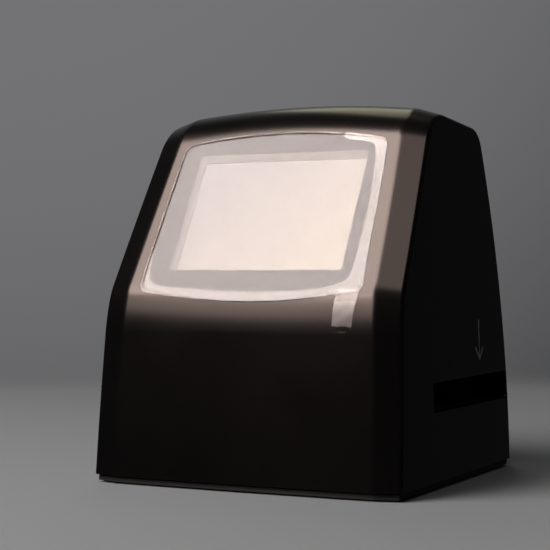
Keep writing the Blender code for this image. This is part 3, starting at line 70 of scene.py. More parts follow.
def make_piece(name, bm, material=None, sharp=30):
    """Make an object at the origin from a mesh in millimetres, smooth up to an angle."""
    bm.transform(Matrix.Scale(MM, 4))
    mesh = bpy.data.meshes.new(name)
    bm.to_mesh(mesh)
    bm.free()
    if material:
        mesh.materials.append(material)
    smooth(mesh, sharp)
    piece = bpy.data.objects.new(name, mesh)
    scene.collection.objects.link(piece)
    return piece


def apply_modifiers(piece):
    """Replace a piece's mesh with the result of its modifiers."""
    graph = bpy.context.evaluated_depsgraph_get()
    mesh = bpy.data.meshes.new_from_object(piece.evaluated_get(graph))
    piece.modifiers.clear()
    piece.data = mesh


def frozen(piece, sharp=30):
    apply_modifiers(piece)
    smooth(piece.data, sharp)
    return piece


def add_grid(bm, rows, closed=False):
    """Quads between rows of points; a closed row also joins its last point to its first."""
    grid = [[bm.verts.new(point) for point in row] for row in rows]
    width = len(grid[0])
    for lower, upper in zip(grid, grid[1:]):
        for i in range(width if closed else width - 1):
            j = (i + 1) % width
            bm.faces.new((lower[i], lower[j], upper[j], upper[i]))
    return grid


def add_stack(bm, rings, place=Matrix()):
    """A closed body from outlines at rising heights: a list of (outline, height)."""
    rows = [[place @ Vector((x, y, height)) for x, y in outline] for outline, height in rings]
    grid = add_grid(bm, rows, closed=True)
    bm.faces.new(grid[0][::-1])
    bm.faces.new(grid[-1])
    bmesh.ops.recalc_face_normals(bm, faces=bm.faces)


def slab(outline, low, high):
    """The rings of a body with straight walls, for add_stack."""
    return [(outline, low), (outline, high)]


def circle(x, y, radius, sides=48):
    return [(x + radius * math.cos(2 * math.pi * i / sides),
             y + radius * math.sin(2 * math.pi * i / sides)) for i in range(sides)]


def add_lathe(bm, outline, x, y):
    """A turned body from (radius, height) points, with its poles closed."""
    add_grid(bm, [[(*point, height) for point in circle(x, y, radius)]
                  for radius, height in outline], closed=True)
    bmesh.ops.remove_doubles(bm, verts=bm.verts, dist=FINE)
    bmesh.ops.recalc_face_normals(bm, faces=bm.faces)


def offset_outline(outline, distance):
    """Move every side of an anticlockwise outline outwards, with mitred corners."""
    points = [Vector(point) for point in outline]
    moved = []
    for i, point in enumerate(points):
        before = (point - points[i - 1]).normalized()
        after = (points[(i + 1) % len(points)] - point).normalized()
        outwards = Vector((before.y + after.y, -before.x - after.x)).normalized()
        moved.append(point + outwards * distance / outwards.dot(Vector((before.y, -before.x))))
    return [tuple(point) for point in moved]


def rounded_rectangle(half_x, half_y, radius, steps=6):
    """An anticlockwise rectangle with round corners, about its centre."""
    points = []
    for quarter, (sx, sy) in enumerate(((1, 1), (-1, 1), (-1, -1), (1, -1))):
        for i in range(steps + 1):
            turn = math.pi / 2 * (quarter + i / steps)
            points.append((sx * (half_x - radius) + radius * math.cos(turn),
                           sy * (half_y - radius) + radius * math.sin(turn)))
    return points


def rectangle(low, high, margin=0.0):
    return [(low[0] - margin, low[1] - margin), (high[0] + margin, low[1] - margin),
            (high[0] + margin, high[1] + margin), (low[0] - margin, high[1] + margin)]


def stack_piece(name, rings, place=Matrix(), material=None, sharp=30):
    """A piece, or a tool for a cut, from (outline, height) rings, lowest first."""
    bm = bmesh.new()
    add_stack(bm, rings, place)
    return make_piece(name, bm, material, sharp)


def cut(piece, tool):
    """Apply one exact Boolean difference and remove its tool."""
    modifier = piece.modifiers.new(tool.name, "BOOLEAN")
    modifier.operation = "DIFFERENCE"
    modifier.solver = "EXACT"
    modifier.object = tool
    frozen(piece)
    bpy.data.objects.remove(tool)


def quarter_turns(steps):
    return [math.pi / 2 * i / steps for i in range(steps + 1)]


def ramp(value, low, high):
    """0 below low, 1 above high and a straight line between them."""
    return min(1.0, max(0.0, (value - low) / (high - low)))


def between(stops, place):
    """A number read off a line through (place, number) stops."""
    for (low, first), (high, second) in zip(stops, stops[1:]):
        if place <= high:
            return first + (second - first) * ramp(place, low, high)
    return stops[-1][1]


print("helpers ready")

# %% [markdown]
# ## Arithmetic on sockets
# A shader or a node tree is easier to read as a formula.  One small class wraps an output
# socket and overloads the operators, so that `1 - mask` adds its own Math node.

# %% Node formulas
class Value:
    """An output socket that takes part in arithmetic."""

    def __init__(self, graph, socket):
        self.graph = graph
        self.socket = socket

    def other(self, name):
        """Another output of the same node."""
        return Value(self.graph, self.socket.node.outputs[name])

    def math(self, operation, *values):
        return self.graph.math(operation, self, *values)

    def __add__(self, other):
        return self.math("ADD", other)

    def __sub__(self, other):
        return self.math("SUBTRACT", other)

    def __rsub__(self, other):
        return self.graph.math("SUBTRACT", other, self)

    def __mul__(self, other):
        return self.math("MULTIPLY", other)

    __radd__ = __add__
    __rmul__ = __mul__

    def step(self, low, high):
        """A smooth step from 0 at low to 1 at high."""
        return self.graph.node("ShaderNodeMapRange",
                               {"Value": self, "From Min": low, "From Max": high},
                               interpolation_type="SMOOTHSTEP")


class Graph:
    """A node tree that nodes are added to by type, inputs and settings."""

    def __init__(self, tree):
        self.tree = tree

    def node(self, kind, inputs=None, output=0, **settings):
        node = self.tree.nodes.new(kind)
        for key, value in settings.items():
            setattr(node, key, value)
        for key, value in (inputs or {}).items():
            self.feed(node.inputs[key], value)
        return Value(self, node.outputs[output]) if len(node.outputs) else node

    def math(self, operation, *values):
        return self.node("ShaderNodeMath", dict(enumerate(values)), operation=operation)

    def feed(self, socket, value):
        if isinstance(value, Value):
            self.tree.links.new(value.socket, socket)
        else:
            socket.default_value = value


print("node formulas ready")

# %% [markdown]
# ## The base of every finish
# Satin moulding is dark plastic with a fine grain: the grain is a bump far smaller than the
# parts, and the gloss changes slowly over the surface where it was handled.  Every finish
# below starts from the same base of colour, roughness and grain, and then adds its own.

# %% Finish helpers
WORN, DUST, DUSTY = 0.06, 1.3, (0.35, 0.75)


def opaque(colour):
    return (*colour, 1.0)


def finish(name, colour, roughness, metallic=0.0):
    """A material with its graph and its Principled shader."""
    material = bpy.data.materials.new(name)
    material.use_nodes = True
    material.diffuse_color = opaque(colour)
    graph = Graph(material.node_tree)
    shader = material.node_tree.nodes["Principled BSDF"]
    graph.feed(shader.inputs["Base Color"], opaque(colour))
    graph.feed(shader.inputs["Roughness"], roughness)
    graph.feed(shader.inputs["Metallic"], metallic)
    return material, graph, shader


def object_place(graph):
    return graph.node("ShaderNodeTexCoord").other("Object")


def noise(graph, scale, detail=2.0):
    return graph.node("ShaderNodeTexNoise",
                      {"Vector": object_place(graph), "Scale": scale, "Detail": detail})


def blend_colours(graph, share, first, second):
    return graph.node("ShaderNodeMix", {"Factor": share, 6: opaque(first), 7: opaque(second)},
                      2, data_type="RGBA")


def bump(graph, shader, height, depth):
    """Raise the surface by a height from 0 to 1, times a depth in millimetres."""
    graph.feed(shader.inputs["Normal"], graph.node("ShaderNodeBump", {
        "Height": height, "Distance": depth * MM, "Strength": 1.0}))


def moulded(name, colour, roughness, grain, grain_scale=2600.0):
    """Moulded plastic: fine grain, slow changes of gloss and a trace of paler dust."""
    material, graph, shader = finish(name, colour, roughness)
    slow = noise(graph, 55.0, 3.0)
    fine = noise(graph, grain_scale, 1.0)
    graph.feed(shader.inputs["Roughness"], roughness + (slow - 0.5) * WORN)
    paler = [min(1.0, c * DUST) for c in colour]
    graph.feed(shader.inputs["Base Color"],
               blend_colours(graph, slow.step(*DUSTY), colour, paler))
    bump(graph, shader, fine, grain)
    return material


print("finish helpers ready")

# %% [markdown]
# ## The camera
# The photograph was taken from low down with a long lens: the camera stands a little over
# half the height of the housing, turned to its right.  The place and the lens length were
# worked out from the corners of the housing in the picture.

# %% Camera
CAMERA_PLACE = (187.24, -396.04, 56.33)
CAMERA_TARGET = (-10.60, -1.18, 55.08)
LENS_LENGTH = 103.07
SENSOR_WIDTH = 36.0


def place_camera():
    data = bpy.data.cameras.new("camera")
    data.lens = LENS_LENGTH
    data.sensor_width = SENSOR_WIDTH
    data.clip_start = 10 * MM
    camera = bpy.data.objects.new("camera", data)
    camera.location = Vector(CAMERA_PLACE) * MM
    look = Vector(CAMERA_TARGET) - Vector(CAMERA_PLACE)
    camera.rotation_euler = look.to_track_quat("-Z", "Y").to_euler()
    scene.collection.objects.link(camera)
    scene.camera = camera


place_camera()
scene.view_settings.view_transform = "Standard"
print("camera at", CAMERA_PLACE)

# %% [markdown]
# ## The studio
# One softbox hangs where the camera sees its mirror image in the tilted window, so the window
# and the panel round it catch its light.  A weaker softbox to its right is mirrored by the
# chamfer, a low one by the bend under the window, and a small lamp behind the scanner draws
# the line of the top.  The floor is a pale disc whose rim fades into the backdrop, which is a
# lit wall behind the scanner: its grey falls off to all sides, as the light on a real studio
# wall does.  In the photograph the housing is black down to its feet, so the floor is left
# out of reflections.

# %% Lamps, floor and backdrop
WINDOW_POINT = Vector((0.0, -26.8, 72.0))
LAMPS = {
    # name: (direction from the window, distance, width and height in metres, radiance, colour)
    "softbox": ((-0.40, -0.55, 0.73), 850.0, (0.47, 0.60), 11.5, (1.0, 0.87, 0.82)),
    "side_softbox": ((0.15, -0.50, 0.85), 850.0, (0.36, 0.36), 2.4, (1.0, 0.88, 0.84)),
    "top_lamp": ((-0.27, 0.58, 0.77), 800.0, (0.19, 0.50), 1.15, (1.0, 0.97, 0.72)),
    "low_softbox": ((-0.40, -0.80, 0.42), 850.0, (0.47, 0.28), 4.2, (1.0, 0.87, 0.82)),
}
WALL_GREY, ROOM_GREY = (0.172, 0.172, 0.178), (0.019, 0.019, 0.020)
WALL_WAY = (-0.566, 0.764, 0.309)
WALL_FALLOFF = (0.78, 1.0)
FLOOR_GREY = (0.183, 0.210, 0.229)
FLOOR_RADIUS = 0.60
FLOOR_FADE, FLOOR_MOTTLE = (0.30, 0.47), (0.97, 1.03)


def add_softbox(name, place, target, size, radiance, colour):
    """A rectangular area lamp of a given radiance that faces a point."""
    data = bpy.data.lights.new(name, "AREA")
    data.shape = "RECTANGLE"
    data.size, data.size_y = size
    data.energy = radiance * math.pi * size[0] * size[1]
    data.color = colour
    lamp = bpy.data.objects.new(name, data)
    lamp.location = place * MM
    lamp.rotation_euler = (target - place).to_track_quat("-Z", "Y").to_euler()
    scene.collection.objects.link(lamp)


def light_studio():
    for name, (way, distance, size, radiance, colour) in LAMPS.items():
        add_softbox(name, WINDOW_POINT + Vector(way).normalized() * distance, WINDOW_POINT,
                    size, radiance, colour)
    world = bpy.data.worlds.new("studio_wall")
    world.use_nodes = True
    graph = Graph(world.node_tree)
    way = graph.node("ShaderNodeTexCoord").other("Generated")
    facing = graph.node("ShaderNodeVectorMath", {0: way, 1: WALL_WAY}, 1,
                        operation="DOT_PRODUCT")
    grey = blend_colours(graph, facing.step(*WALL_FALLOFF), ROOM_GREY, WALL_GREY)
    graph.feed(world.node_tree.nodes["Background"].inputs["Color"], grey)
    scene.world = world


def lay_floor():
    material, graph, shader = finish("pale_floor", FLOOR_GREY, 0.75)
    away = graph.node("ShaderNodeVectorMath", {0: object_place(graph)}, 1, operation="LENGTH")
    dark, pale = ([c * share for c in FLOOR_GREY] for share in FLOOR_MOTTLE)
    graph.feed(shader.inputs["Base Color"],
               blend_colours(graph, noise(graph, 900.0), dark, pale))
    graph.feed(shader.inputs["Alpha"], 1 - away.step(*FLOOR_FADE))
    bm = bmesh.new()
    bmesh.ops.create_circle(bm, cap_ends=True, segments=96, radius=FLOOR_RADIUS / MM)
    floor = make_piece("floor", bm, material)
    floor.visible_glossy = False


light_studio()
lay_floor()
print("lamps:", len(LAMPS))

# %% [markdown]
# ## The finishes of the object
# The housing is satin black, the base and the inner mouldings are matt black, the buttons
# are glossier, and the feet are rubber.  Circuit boards get a woven green with a fine
# pattern of tracks, steel gets a brushed grain, and glass gets a thin coating.

# %% Plastic, rubber and metal
CASE_GLOSS, CASE_TINT = 0.42, (1.0, 0.87, 0.80)
CASE_FINISH = moulded("satin_black_casing", (0.0014, 0.0014, 0.0015), 0.22, 0.006)
case_shader = CASE_FINISH.node_tree.nodes["Principled BSDF"]
case_shader.inputs["Specular IOR Level"].default_value = CASE_GLOSS
case_shader.inputs["Specular Tint"].default_value = opaque(CASE_TINT)
MATT_FINISH = moulded("matt_black_plastic", (0.012, 0.012, 0.012), 0.62, 0.02)
KEY_FINISH = moulded("gloss_black_button", (0.012, 0.012, 0.013), 0.24, 0.003)
RUBBER_FINISH = moulded("black_rubber", (0.02, 0.02, 0.02), 0.85, 0.05, 1500.0)
WHITE_FINISH = moulded("white_plastic", (0.78, 0.78, 0.76), 0.45, 0.01)
CHIP_FINISH = moulded("chip_black", (0.02, 0.02, 0.022), 0.5, 0.01)
PRINT_FINISH = moulded("white_print", (0.55, 0.55, 0.54), 0.5, 0.004)


def brushed_steel():
    material, graph, shader = finish("plated_steel", (0.62, 0.62, 0.61), 0.3, 1.0)
    stretched = graph.node("ShaderNodeMapping", {
        "Vector": object_place(graph), "Scale": (300.0, 6000.0, 6000.0)})
    grain = graph.node("ShaderNodeTexNoise", {"Vector": stretched, "Scale": 1.0})
    graph.feed(shader.inputs["Roughness"], 0.22 + grain * 0.2)
    bump(graph, shader, grain, 0.004)
    return material


def contact_gold():
    material, graph, shader = finish("contact_gold", (0.85, 0.62, 0.28), 0.25, 1.0)
    graph.feed(shader.inputs["Roughness"], 0.2 + noise(graph, 1500.0) * 0.2)
    return material


STEEL_FINISH = brushed_steel()
GOLD_FINISH = contact_gold()


# %% Boards and glass
def circuit_green():
    """Solder resist over tracks: squares of a brick pattern stand for the tracks."""
    material, graph, shader = finish("circuit_board", (0.02, 0.16, 0.06), 0.35)
    tracks = graph.node("ShaderNodeTexBrick", {
        "Vector": object_place(graph), "Scale": 260.0, "Mortar Size": 0.035,
        "Brick Width": 0.9, "Row Height": 0.35}, 1, offset=0.5)
    graph.feed(shader.inputs["Base Color"],
               blend_colours(graph, tracks, (0.012, 0.11, 0.04), (0.03, 0.2, 0.08)))
    bump(graph, shader, tracks, 0.03)
    return material


def coated_glass():
    """Lens glass: dark, very smooth, with a violet tint that is stronger at its edge."""
    material, graph, shader = finish("coated_lens", (0.03, 0.02, 0.06), 0.04)
    edge = graph.node("ShaderNodeLayerWeight", {"Blend": 0.4}, 1)
    graph.feed(shader.inputs["Base Color"],
               blend_colours(graph, edge, (0.02, 0.015, 0.05), (0.2, 0.1, 0.35)))
    graph.feed(shader.inputs["Coat Weight"], 1.0)
    return material


BOARD_FINISH = circuit_green()
LENS_FINISH = coated_glass()
print("finishes:", len(bpy.data.materials))

# %% [markdown]
# ## The form of the housing
# The housing is one moulding.  Seen from the side its front leans back a little, bends into
# the slanted panel with the screen, rolls over the top and runs down a long shallow arc at
# the back.  Across, each station is a panel with a crown, a chamfer and a side wall that
# tapers upwards.  A designer draws this as a loft, so the script does the same: it walks
# along the side profile, and places a cross-section at every station.

# %% Sizes of the housing
WIDTH, DEPTH, WALL = 88.2, 89.0, 2.2
GAP = 0.3
CASE_BOTTOM = 2.1
BEND_HEIGHT, SLANT_LENGTH = 48.9, 48.8
LOW_BEND_RADIUS, LOW_BEND_TURN, BEND_RADIUS = 50.0, math.radians(11.0), 18.0
TOP_ROLL_RADIUS, REAR_ROLL_RADIUS, BACK_RADIUS = 17.0, 9.0, 348.0
SIDE_BOW_RADIUS = 1610.0
CHAMFER_WIDTH, CHAMFER_DEPTH = 6.8, 2.1
FRONT_CROWN, TOP_CROWN, BACK_CROWN = 0.6, 2.1, 0.6
FRONT_LEAN, SCREEN_TILT = math.radians(4.7), math.radians(29.9)
TOP_ANGLE, BACK_FOOT_ANGLE = math.radians(94.0), math.radians(178.8)
SIDE_DRAFT = math.radians(0.9)
# how far the middle of the panel stands out, by direction: it is flat where the screen is
CROWNS = ((FRONT_LEAN, FRONT_CROWN), (SCREEN_TILT, 0.0), (TOP_ANGLE, TOP_CROWN),
          (BACK_FOOT_ANGLE, BACK_CROWN))
CREASE_SOFTNESS, EDGE_SOFTNESS = 0.8, 0.9
BELOW = 1.0
PROFILE_STEPS = {"front": 8, "low bend": 10, "bend": 10, "slant": 16, "top roll": 32, "top": 12,
                 "rear roll": 18, "back": 16}
PANEL_STEPS, SIDE_ROWS = 10, 36


def half_width(z):
    return WIDTH / 2 - z * math.tan(SIDE_DRAFT) - z * z / (2 * SIDE_BOW_RADIUS)


def normal(angle):
    """Outward direction of the profile: 0 is forwards, 90 degrees up, 180 back."""
    return Vector((0, -math.cos(angle), math.sin(angle)))


def travel(angle):
    return Vector((0, math.sin(angle), math.cos(angle)))


FRONT_FOOT_Y = FRONT_CROWN - DEPTH / 2
BACK_FOOT = Vector((0, DEPTH / 2 - BACK_CROWN, CASE_BOTTOM))
BEND_CORNER = Vector((0, FRONT_FOOT_Y + (BEND_HEIGHT - CASE_BOTTOM) * math.tan(FRONT_LEAN),
                      BEND_HEIGHT))


# %% Side profile
def straight(path, length, pieces):
    start, angle = path[-1]
    path += [(start + travel(angle) * (length * i / pieces), angle)
             for i in range(1, pieces + 1)]


def bend(path, radius, end_angle, pieces):
    start, angle = path[-1]
    centre = start - normal(angle) * radius
    for i in range(1, pieces + 1):
        turned = angle + (end_angle - angle) * i / pieces
        path.append((centre + normal(turned) * radius, turned))


def bend_reach():
    """How far the bend, a wide arc and then a tight one, reaches below and above its corner."""
    turn, low_turn = SCREEN_TILT - FRONT_LEAN, LOW_BEND_TURN
    rise = (LOW_BEND_RADIUS * (1 - math.cos(low_turn))
            + BEND_RADIUS * (math.cos(low_turn) - math.cos(turn)))
    run = (LOW_BEND_RADIUS * math.sin(low_turn)
           + BEND_RADIUS * (math.sin(turn) - math.sin(low_turn)))
    above = rise / math.sin(turn)
    return run - above * math.cos(turn), above


def side_profile():
    """Points and directions along the panel's crease, from the front foot to the rear."""
    below_corner, above_corner = bend_reach()
    below = BELOW / math.cos(FRONT_LEAN)
    foot = Vector((0, FRONT_FOOT_Y, CASE_BOTTOM)) - travel(FRONT_LEAN) * below
    path = [(foot, FRONT_LEAN)]
    straight(path, (BEND_CORNER - foot).length - below_corner, PROFILE_STEPS["front"])
    bend(path, LOW_BEND_RADIUS, FRONT_LEAN + LOW_BEND_TURN, PROFILE_STEPS["low bend"])
    bend(path, BEND_RADIUS, SCREEN_TILT, PROFILE_STEPS["bend"])
    straight(path, SLANT_LENGTH - above_corner, PROFILE_STEPS["slant"])
    bend(path, TOP_ROLL_RADIUS, TOP_ANGLE, PROFILE_STEPS["top roll"])
    start = path[-1][0]
    back_centre = BACK_FOOT - normal(BACK_FOOT_ANGLE) * BACK_RADIUS
    aside = start - normal(TOP_ANGLE) * REAR_ROLL_RADIUS - back_centre
    along = aside.dot(travel(TOP_ANGLE))
    reach = BACK_RADIUS - REAR_ROLL_RADIUS
    top_length = math.sqrt(along ** 2 - aside.length_squared + reach ** 2) - along
    roll_centre = aside + travel(TOP_ANGLE) * top_length
    straight(path, top_length, PROFILE_STEPS["top"])
    bend(path, REAR_ROLL_RADIUS, math.atan2(roll_centre.z, -roll_centre.y),
         PROFILE_STEPS["rear roll"])
    bend(path, BACK_RADIUS, BACK_FOOT_ANGLE + BELOW / BACK_RADIUS, PROFILE_STEPS["back"])
    return path


PROFILE = side_profile()
print("stations along the housing:", len(PROFILE))


# %% Cross-section
def soft_corner(start, corner, end, pieces=6):
    """A rounded corner between two directions, as a parabola."""
    start, corner, end = Vector(start), Vector(corner), Vector(end)
    return [start.lerp(corner, i / pieces).lerp(corner.lerp(end, i / pieces), i / pieces)
            for i in range(pieces + 1)]


def half_section(half, crown, inset):
    """(across, above the crease) from the middle of the panel to the side wall."""
    soft, edge_soft = CREASE_SOFTNESS, max(0.2, EDGE_SOFTNESS - inset)
    chamfer = Vector((CHAMFER_WIDTH, -CHAMFER_DEPTH)).normalized()
    stop = half - soft

    def panel(x):
        return crown * (1 - (x / half) ** 2)

    points = [Vector((x, panel(x))) for x in (stop * i / PANEL_STEPS for i in range(PANEL_STEPS))]
    crease = Vector((half, 0))
    edge = Vector((half + CHAMFER_WIDTH, -CHAMFER_DEPTH))
    points += soft_corner((stop, panel(stop)), crease, crease + chamfer * soft)
    points += soft_corner(edge - chamfer * edge_soft, edge, edge - Vector((0, edge_soft)))
    return points


def cross_section(point, angle, inset):
    """Points across the housing, or across its inner skin at an inset."""
    station = point - normal(angle) * inset
    half = half_width(point.z) - CHAMFER_WIDTH - inset
    right = []
    for across, above in half_section(half, between(CROWNS, angle), inset):
        place = station + normal(angle) * above
        from_wall = half_width(point.z) - inset - across
        x = across if across < half else half_width(place.z) - inset - from_wall
        right.append(Vector((x, place.y, place.z)))
    left = [Vector((-p.x, p.y, p.z)) for p in right[:0:-1]]
    return left + right


def side_wall(front, top, rear, sign, inset):
    """A wall blended between its front, top and rear edges."""
    rows = []
    for j, (fore, aft) in enumerate(zip(front, rear)):
        v = j / (len(front) - 1)
        row = []
        for i, over in enumerate(top):
            u = i / (len(top) - 1)
            point = fore.lerp(aft, u) + front[0].lerp(rear[0], u).lerp(over, v)
            point -= front[0].lerp(rear[0], u).lerp(top[0].lerp(top[-1], u), v)
            row.append(Vector((sign * (half_width(point.z) - inset), point.y, point.z)))
        rows.append(row)
    return rows


# %% The shell
def add_skin(bm, inset):
    """One open skin of the housing, cut level at its foot.  Returns its rim in order."""
    sections = [cross_section(point, angle, inset) for point, angle in PROFILE]
    skin = bmesh.new()
    add_grid(skin, sections)
    for column, sign in ((0, -1), (-1, 1)):
        edge = [row[column] for row in sections]
        front, rear = edge[:SIDE_ROWS + 1], edge[:-SIDE_ROWS - 2:-1]
        top = edge[SIDE_ROWS:len(edge) - SIDE_ROWS]
        add_grid(skin, side_wall(front, top, rear, sign, inset))
    bmesh.ops.remove_doubles(skin, verts=skin.verts, dist=FINE)
    bmesh.ops.bisect_plane(skin, geom=[*skin.verts, *skin.edges, *skin.faces],
                           plane_co=(0, 0, CASE_BOTTOM), plane_no=(0, 0, -1), clear_outer=True)
    mesh = bpy.data.meshes.new("skin")
    skin.to_mesh(mesh)
    skin.free()
    known = len(bm.verts)
    bm.from_mesh(mesh)
    bpy.data.meshes.remove(mesh)
    bm.verts.ensure_lookup_table()
    rim = [vert for vert in bm.verts[known:] if vert.is_boundary]
    return sorted(rim, key=lambda vert: math.atan2(vert.co.y, vert.co.x))


def make_shell():
    bm = bmesh.new()
    outer, inner = add_skin(bm, 0.0), add_skin(bm, WALL)
    for i in range(len(outer)):
        bm.faces.new((outer[i - 1], outer[i], inner[i], inner[i - 1]))
    bmesh.ops.recalc_face_normals(bm, faces=bm.faces)
    print("shell faces:", len(bm.faces), "open edges:", sum(e.is_boundary for e in bm.edges))
    return make_piece("casing_shell", bm, CASE_FINISH)


shell = make_shell()

# %% [markdown]
# ## Openings of the housing
# The screen window lies flush in a seat on the slanted panel.  The film holder passes
# through a long slot from side to side, whose mouth opens out a little.  On the real thing
# each edge of an opening is broken, and that thin bevel catches the light, so the tools
# below widen over their last fraction of a millimetre.

# %% Places on the screen panel and on the side walls
SCREEN_RISE = 26.7
SCREEN_ORIGIN = BEND_CORNER + travel(SCREEN_TILT) * SCREEN_RISE
ON_SCREEN = (Matrix.Translation(SCREEN_ORIGIN)
             @ Matrix.Rotation(math.pi / 2 - SCREEN_TILT, 4, "X"))
WINDOW_HALF, WINDOW_TAPER = 30.76, 0.9
TOP_BARREL, BOTTOM_BARREL = 2.9, 3.5
WINDOW_TOP, WINDOW_BOTTOM, WINDOW_CORNER_RADIUS = 24.1, 26.8, 2.5
WINDOW_THICKNESS = 1.0
SEAT_FLOOR = -WINDOW_THICKNESS - GAP
OPENING_HALF_WIDTH, OPENING_HALF_HEIGHT, OPENING_CORNER = 25.0, 18.15, 0.3
SLOT_FRONT, SLOT_REAR = -18.4, 39.6
SLOT_BOTTOM, SLOT_TOP, SLOT_CORNER, SLOT_CHAMFER = 19.9, 27.4, 1.0, 0.6
FLARE_STEPS, FLARE_TUCK, FLARE_ROOT = 4, 0.02, 0.3
ARROW_Y, ARROW_BOTTOM, ARROW_LENGTH = 17.5, 31.4, 11.4
ARROW_HEAD, ARROW_LINE, ARROW_DEPTH = 3.4, 0.9, 0.35
BROKEN_EDGE, SEAT_EDGE, PORT_CORNER = 0.22, 0.06, 0.4
OVERRUN, OPENING_ROOT = 1.0, 1.5


def window_outline(margin, pieces=16):
    """The barrel-shaped outline of the window, anticlockwise from its lower left."""
    def edge(half, middle, barrel, sign):
        shares = [2 * i / pieces - 1 for i in range(pieces + 1)]
        return [Vector((-sign * half * s, sign * (middle - barrel * s * s))) for s in shares]

    points = edge(WINDOW_HALF + WINDOW_TAPER, WINDOW_BOTTOM, BOTTOM_BARREL, -1)
    points += edge(WINDOW_HALF - WINDOW_TAPER, WINDOW_TOP, TOP_BARREL, 1)
    rounded = []
    for i, point in enumerate(points):
        before, after = points[i - 1] - point, points[(i + 1) % len(points)] - point
        if before.angle(after) > math.radians(150):
            rounded.append(point)
        else:
            start = point + before.normalized() * WINDOW_CORNER_RADIUS
            end = point + after.normalized() * WINDOW_CORNER_RADIUS
            rounded += soft_corner(start, point, end, 8)
    return offset_outline([tuple(p) for p in rounded], margin)


def side_frame(sign, y, z):
    """Axes on a side wall: X along the housing's Y, Y up the wall, Z straight out."""
    lean = math.tan(SIDE_DRAFT) + z / SIDE_BOW_RADIUS
    out = Vector((sign, 0, lean)).normalized()
    up = Vector((-sign * lean, 0, 1)).normalized()
    turn = Matrix(((0, up.x, out.x), (1, 0, 0), (0, up.z, out.z))).to_4x4()
    return Matrix.Translation((sign * half_width(z), y, z)) @ turn


# %% Tools with a broken edge
SIGHT = rounded_rectangle(OPENING_HALF_WIDTH, OPENING_HALF_HEIGHT, OPENING_CORNER)


def opening_tool(name, outline_at, floor, surface, place=Matrix(), edge=BROKEN_EDGE):
    """A tool from a floor up to a surface, where it widens by the broken edge."""
    return stack_piece(name, [(outline_at(0.0), floor), (outline_at(0.0), surface - edge),
                              (outline_at(edge), surface),
                              (outline_at(edge), surface + OVERRUN)], place)


def box_outline(low, high):
    """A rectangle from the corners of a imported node's box, in a plane that looks back."""
    def outline(margin):
        half_x, half_z = (high.x - low.x) / 2 + margin, (high.z - low.z) / 2 + margin
        middle = Vector(((low.x + high.x) / 2, (low.z + high.z) / 2))
        return [(middle.x + x, middle.y + z) for x, z in
                rounded_rectangle(half_x, half_z, PORT_CORNER)]
    return outline


def node_box(node):
    """Low corner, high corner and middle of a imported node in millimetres."""
    low, high = (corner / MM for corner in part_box(node))
    return low, high, (low + high) / 2


# %% Screen seat, slot and arrows
def cut_screen(shell):
    cut(shell, opening_tool("window_seat", lambda m: window_outline(GAP + m),
                            SEAT_FLOOR, 0.0, ON_SCREEN, SEAT_EDGE))
    cut(shell, stack_piece("display_opening", slab(SIGHT, -WALL - OPENING_ROOT, OVERRUN),
                           ON_SCREEN))


def slot_outline(margin):
    half_y, half_z = (SLOT_REAR - SLOT_FRONT) / 2, (SLOT_TOP - SLOT_BOTTOM) / 2
    return rounded_rectangle(half_y + margin, half_z + margin, SLOT_CORNER + margin)


def cut_slot(shell):
    middle_y, middle_z = (SLOT_FRONT + SLOT_REAR) / 2, (SLOT_BOTTOM + SLOT_TOP) / 2
    across = Matrix(((0, 0, 1, 0), (1, 0, 0, middle_y), (0, 1, 0, middle_z), (0, 0, 0, 1)))
    cut(shell, stack_piece("film_slot", slab(slot_outline(0), -WIDTH, WIDTH), across))
    flare = SLOT_CHAMFER
    rings = [(slot_outline(-FLARE_TUCK), -flare - FLARE_ROOT)]
    rings += [(slot_outline(flare * (1 - math.cos(turn))), -flare * (1 - math.sin(turn)))
              for turn in quarter_turns(FLARE_STEPS)]
    rings.append((slot_outline(flare), OVERRUN))
    for sign in (-1, 1):
        cut(shell, stack_piece("slot_flare", rings, side_frame(sign, middle_y, middle_z)))


def arrow_outline(margin=0.0):
    """A thin arrow that points down, as (along Y, up) from its tip."""
    line, head = ARROW_LINE / 2, ARROW_HEAD
    barb = ARROW_LINE * math.sqrt(2)
    points = [(0, 0), (head, head), (head, head + barb), (line, barb + line),
              (line, ARROW_LENGTH), (-line, ARROW_LENGTH), (-line, barb + line),
              (-head, head + barb), (-head, head)]
    return offset_outline(points, margin)


def cut_arrows(shell):
    for sign in (-1, 1):
        cut(shell, stack_piece("arrow_mark", slab(arrow_outline(), -ARROW_DEPTH, OVERRUN),
                               side_frame(sign, ARROW_Y, ARROW_BOTTOM)))


cut_screen(shell)
cut_slot(shell)
cut_arrows(shell)
print("screen, slot and arrows cut:", len(shell.data.polygons), "faces")


# %% Ports and button holes
BUTTONS = ("power_button", "back_button", "scan_button", "forward_button", "menu_button")
KEY_FLANGE, KEY_PROUD = 1.0, 0.9
HOLE_BEVEL, HOLE_OVERRUN = 0.9, 3.0
PORT_GAP, PORT_DEPTH, REAR_PORT_REACH, SIDE_PORT_REACH = 0.5, 2.0, 1.2, 0.8
LOOK_BACK = Matrix(((1, 0, 0, 0), (0, 0, 1, 0), (0, 1, 0, 0), (0, 0, 0, 1)))
LOOK_LEFT = Matrix(((0, 0, -1, 0), (1, 0, 0, 0), (0, 1, 0, 0), (0, 0, 0, 1)))


def key_place(name):
    """Middle, crest height and visible radius of a packed button."""
    low, high, middle = node_box(name)
    return middle.x, middle.y, high.z, (high.x - low.x) / 2 - KEY_FLANGE


def cut_port(shell, name, low, high, surface, look):
    """Cut a port through a wall, around the box of its socket."""
    outline = box_outline(low, high)
    cut(shell, opening_tool(name, lambda m: outline(PORT_GAP + m),
                            surface - WALL - PORT_DEPTH, surface, look))


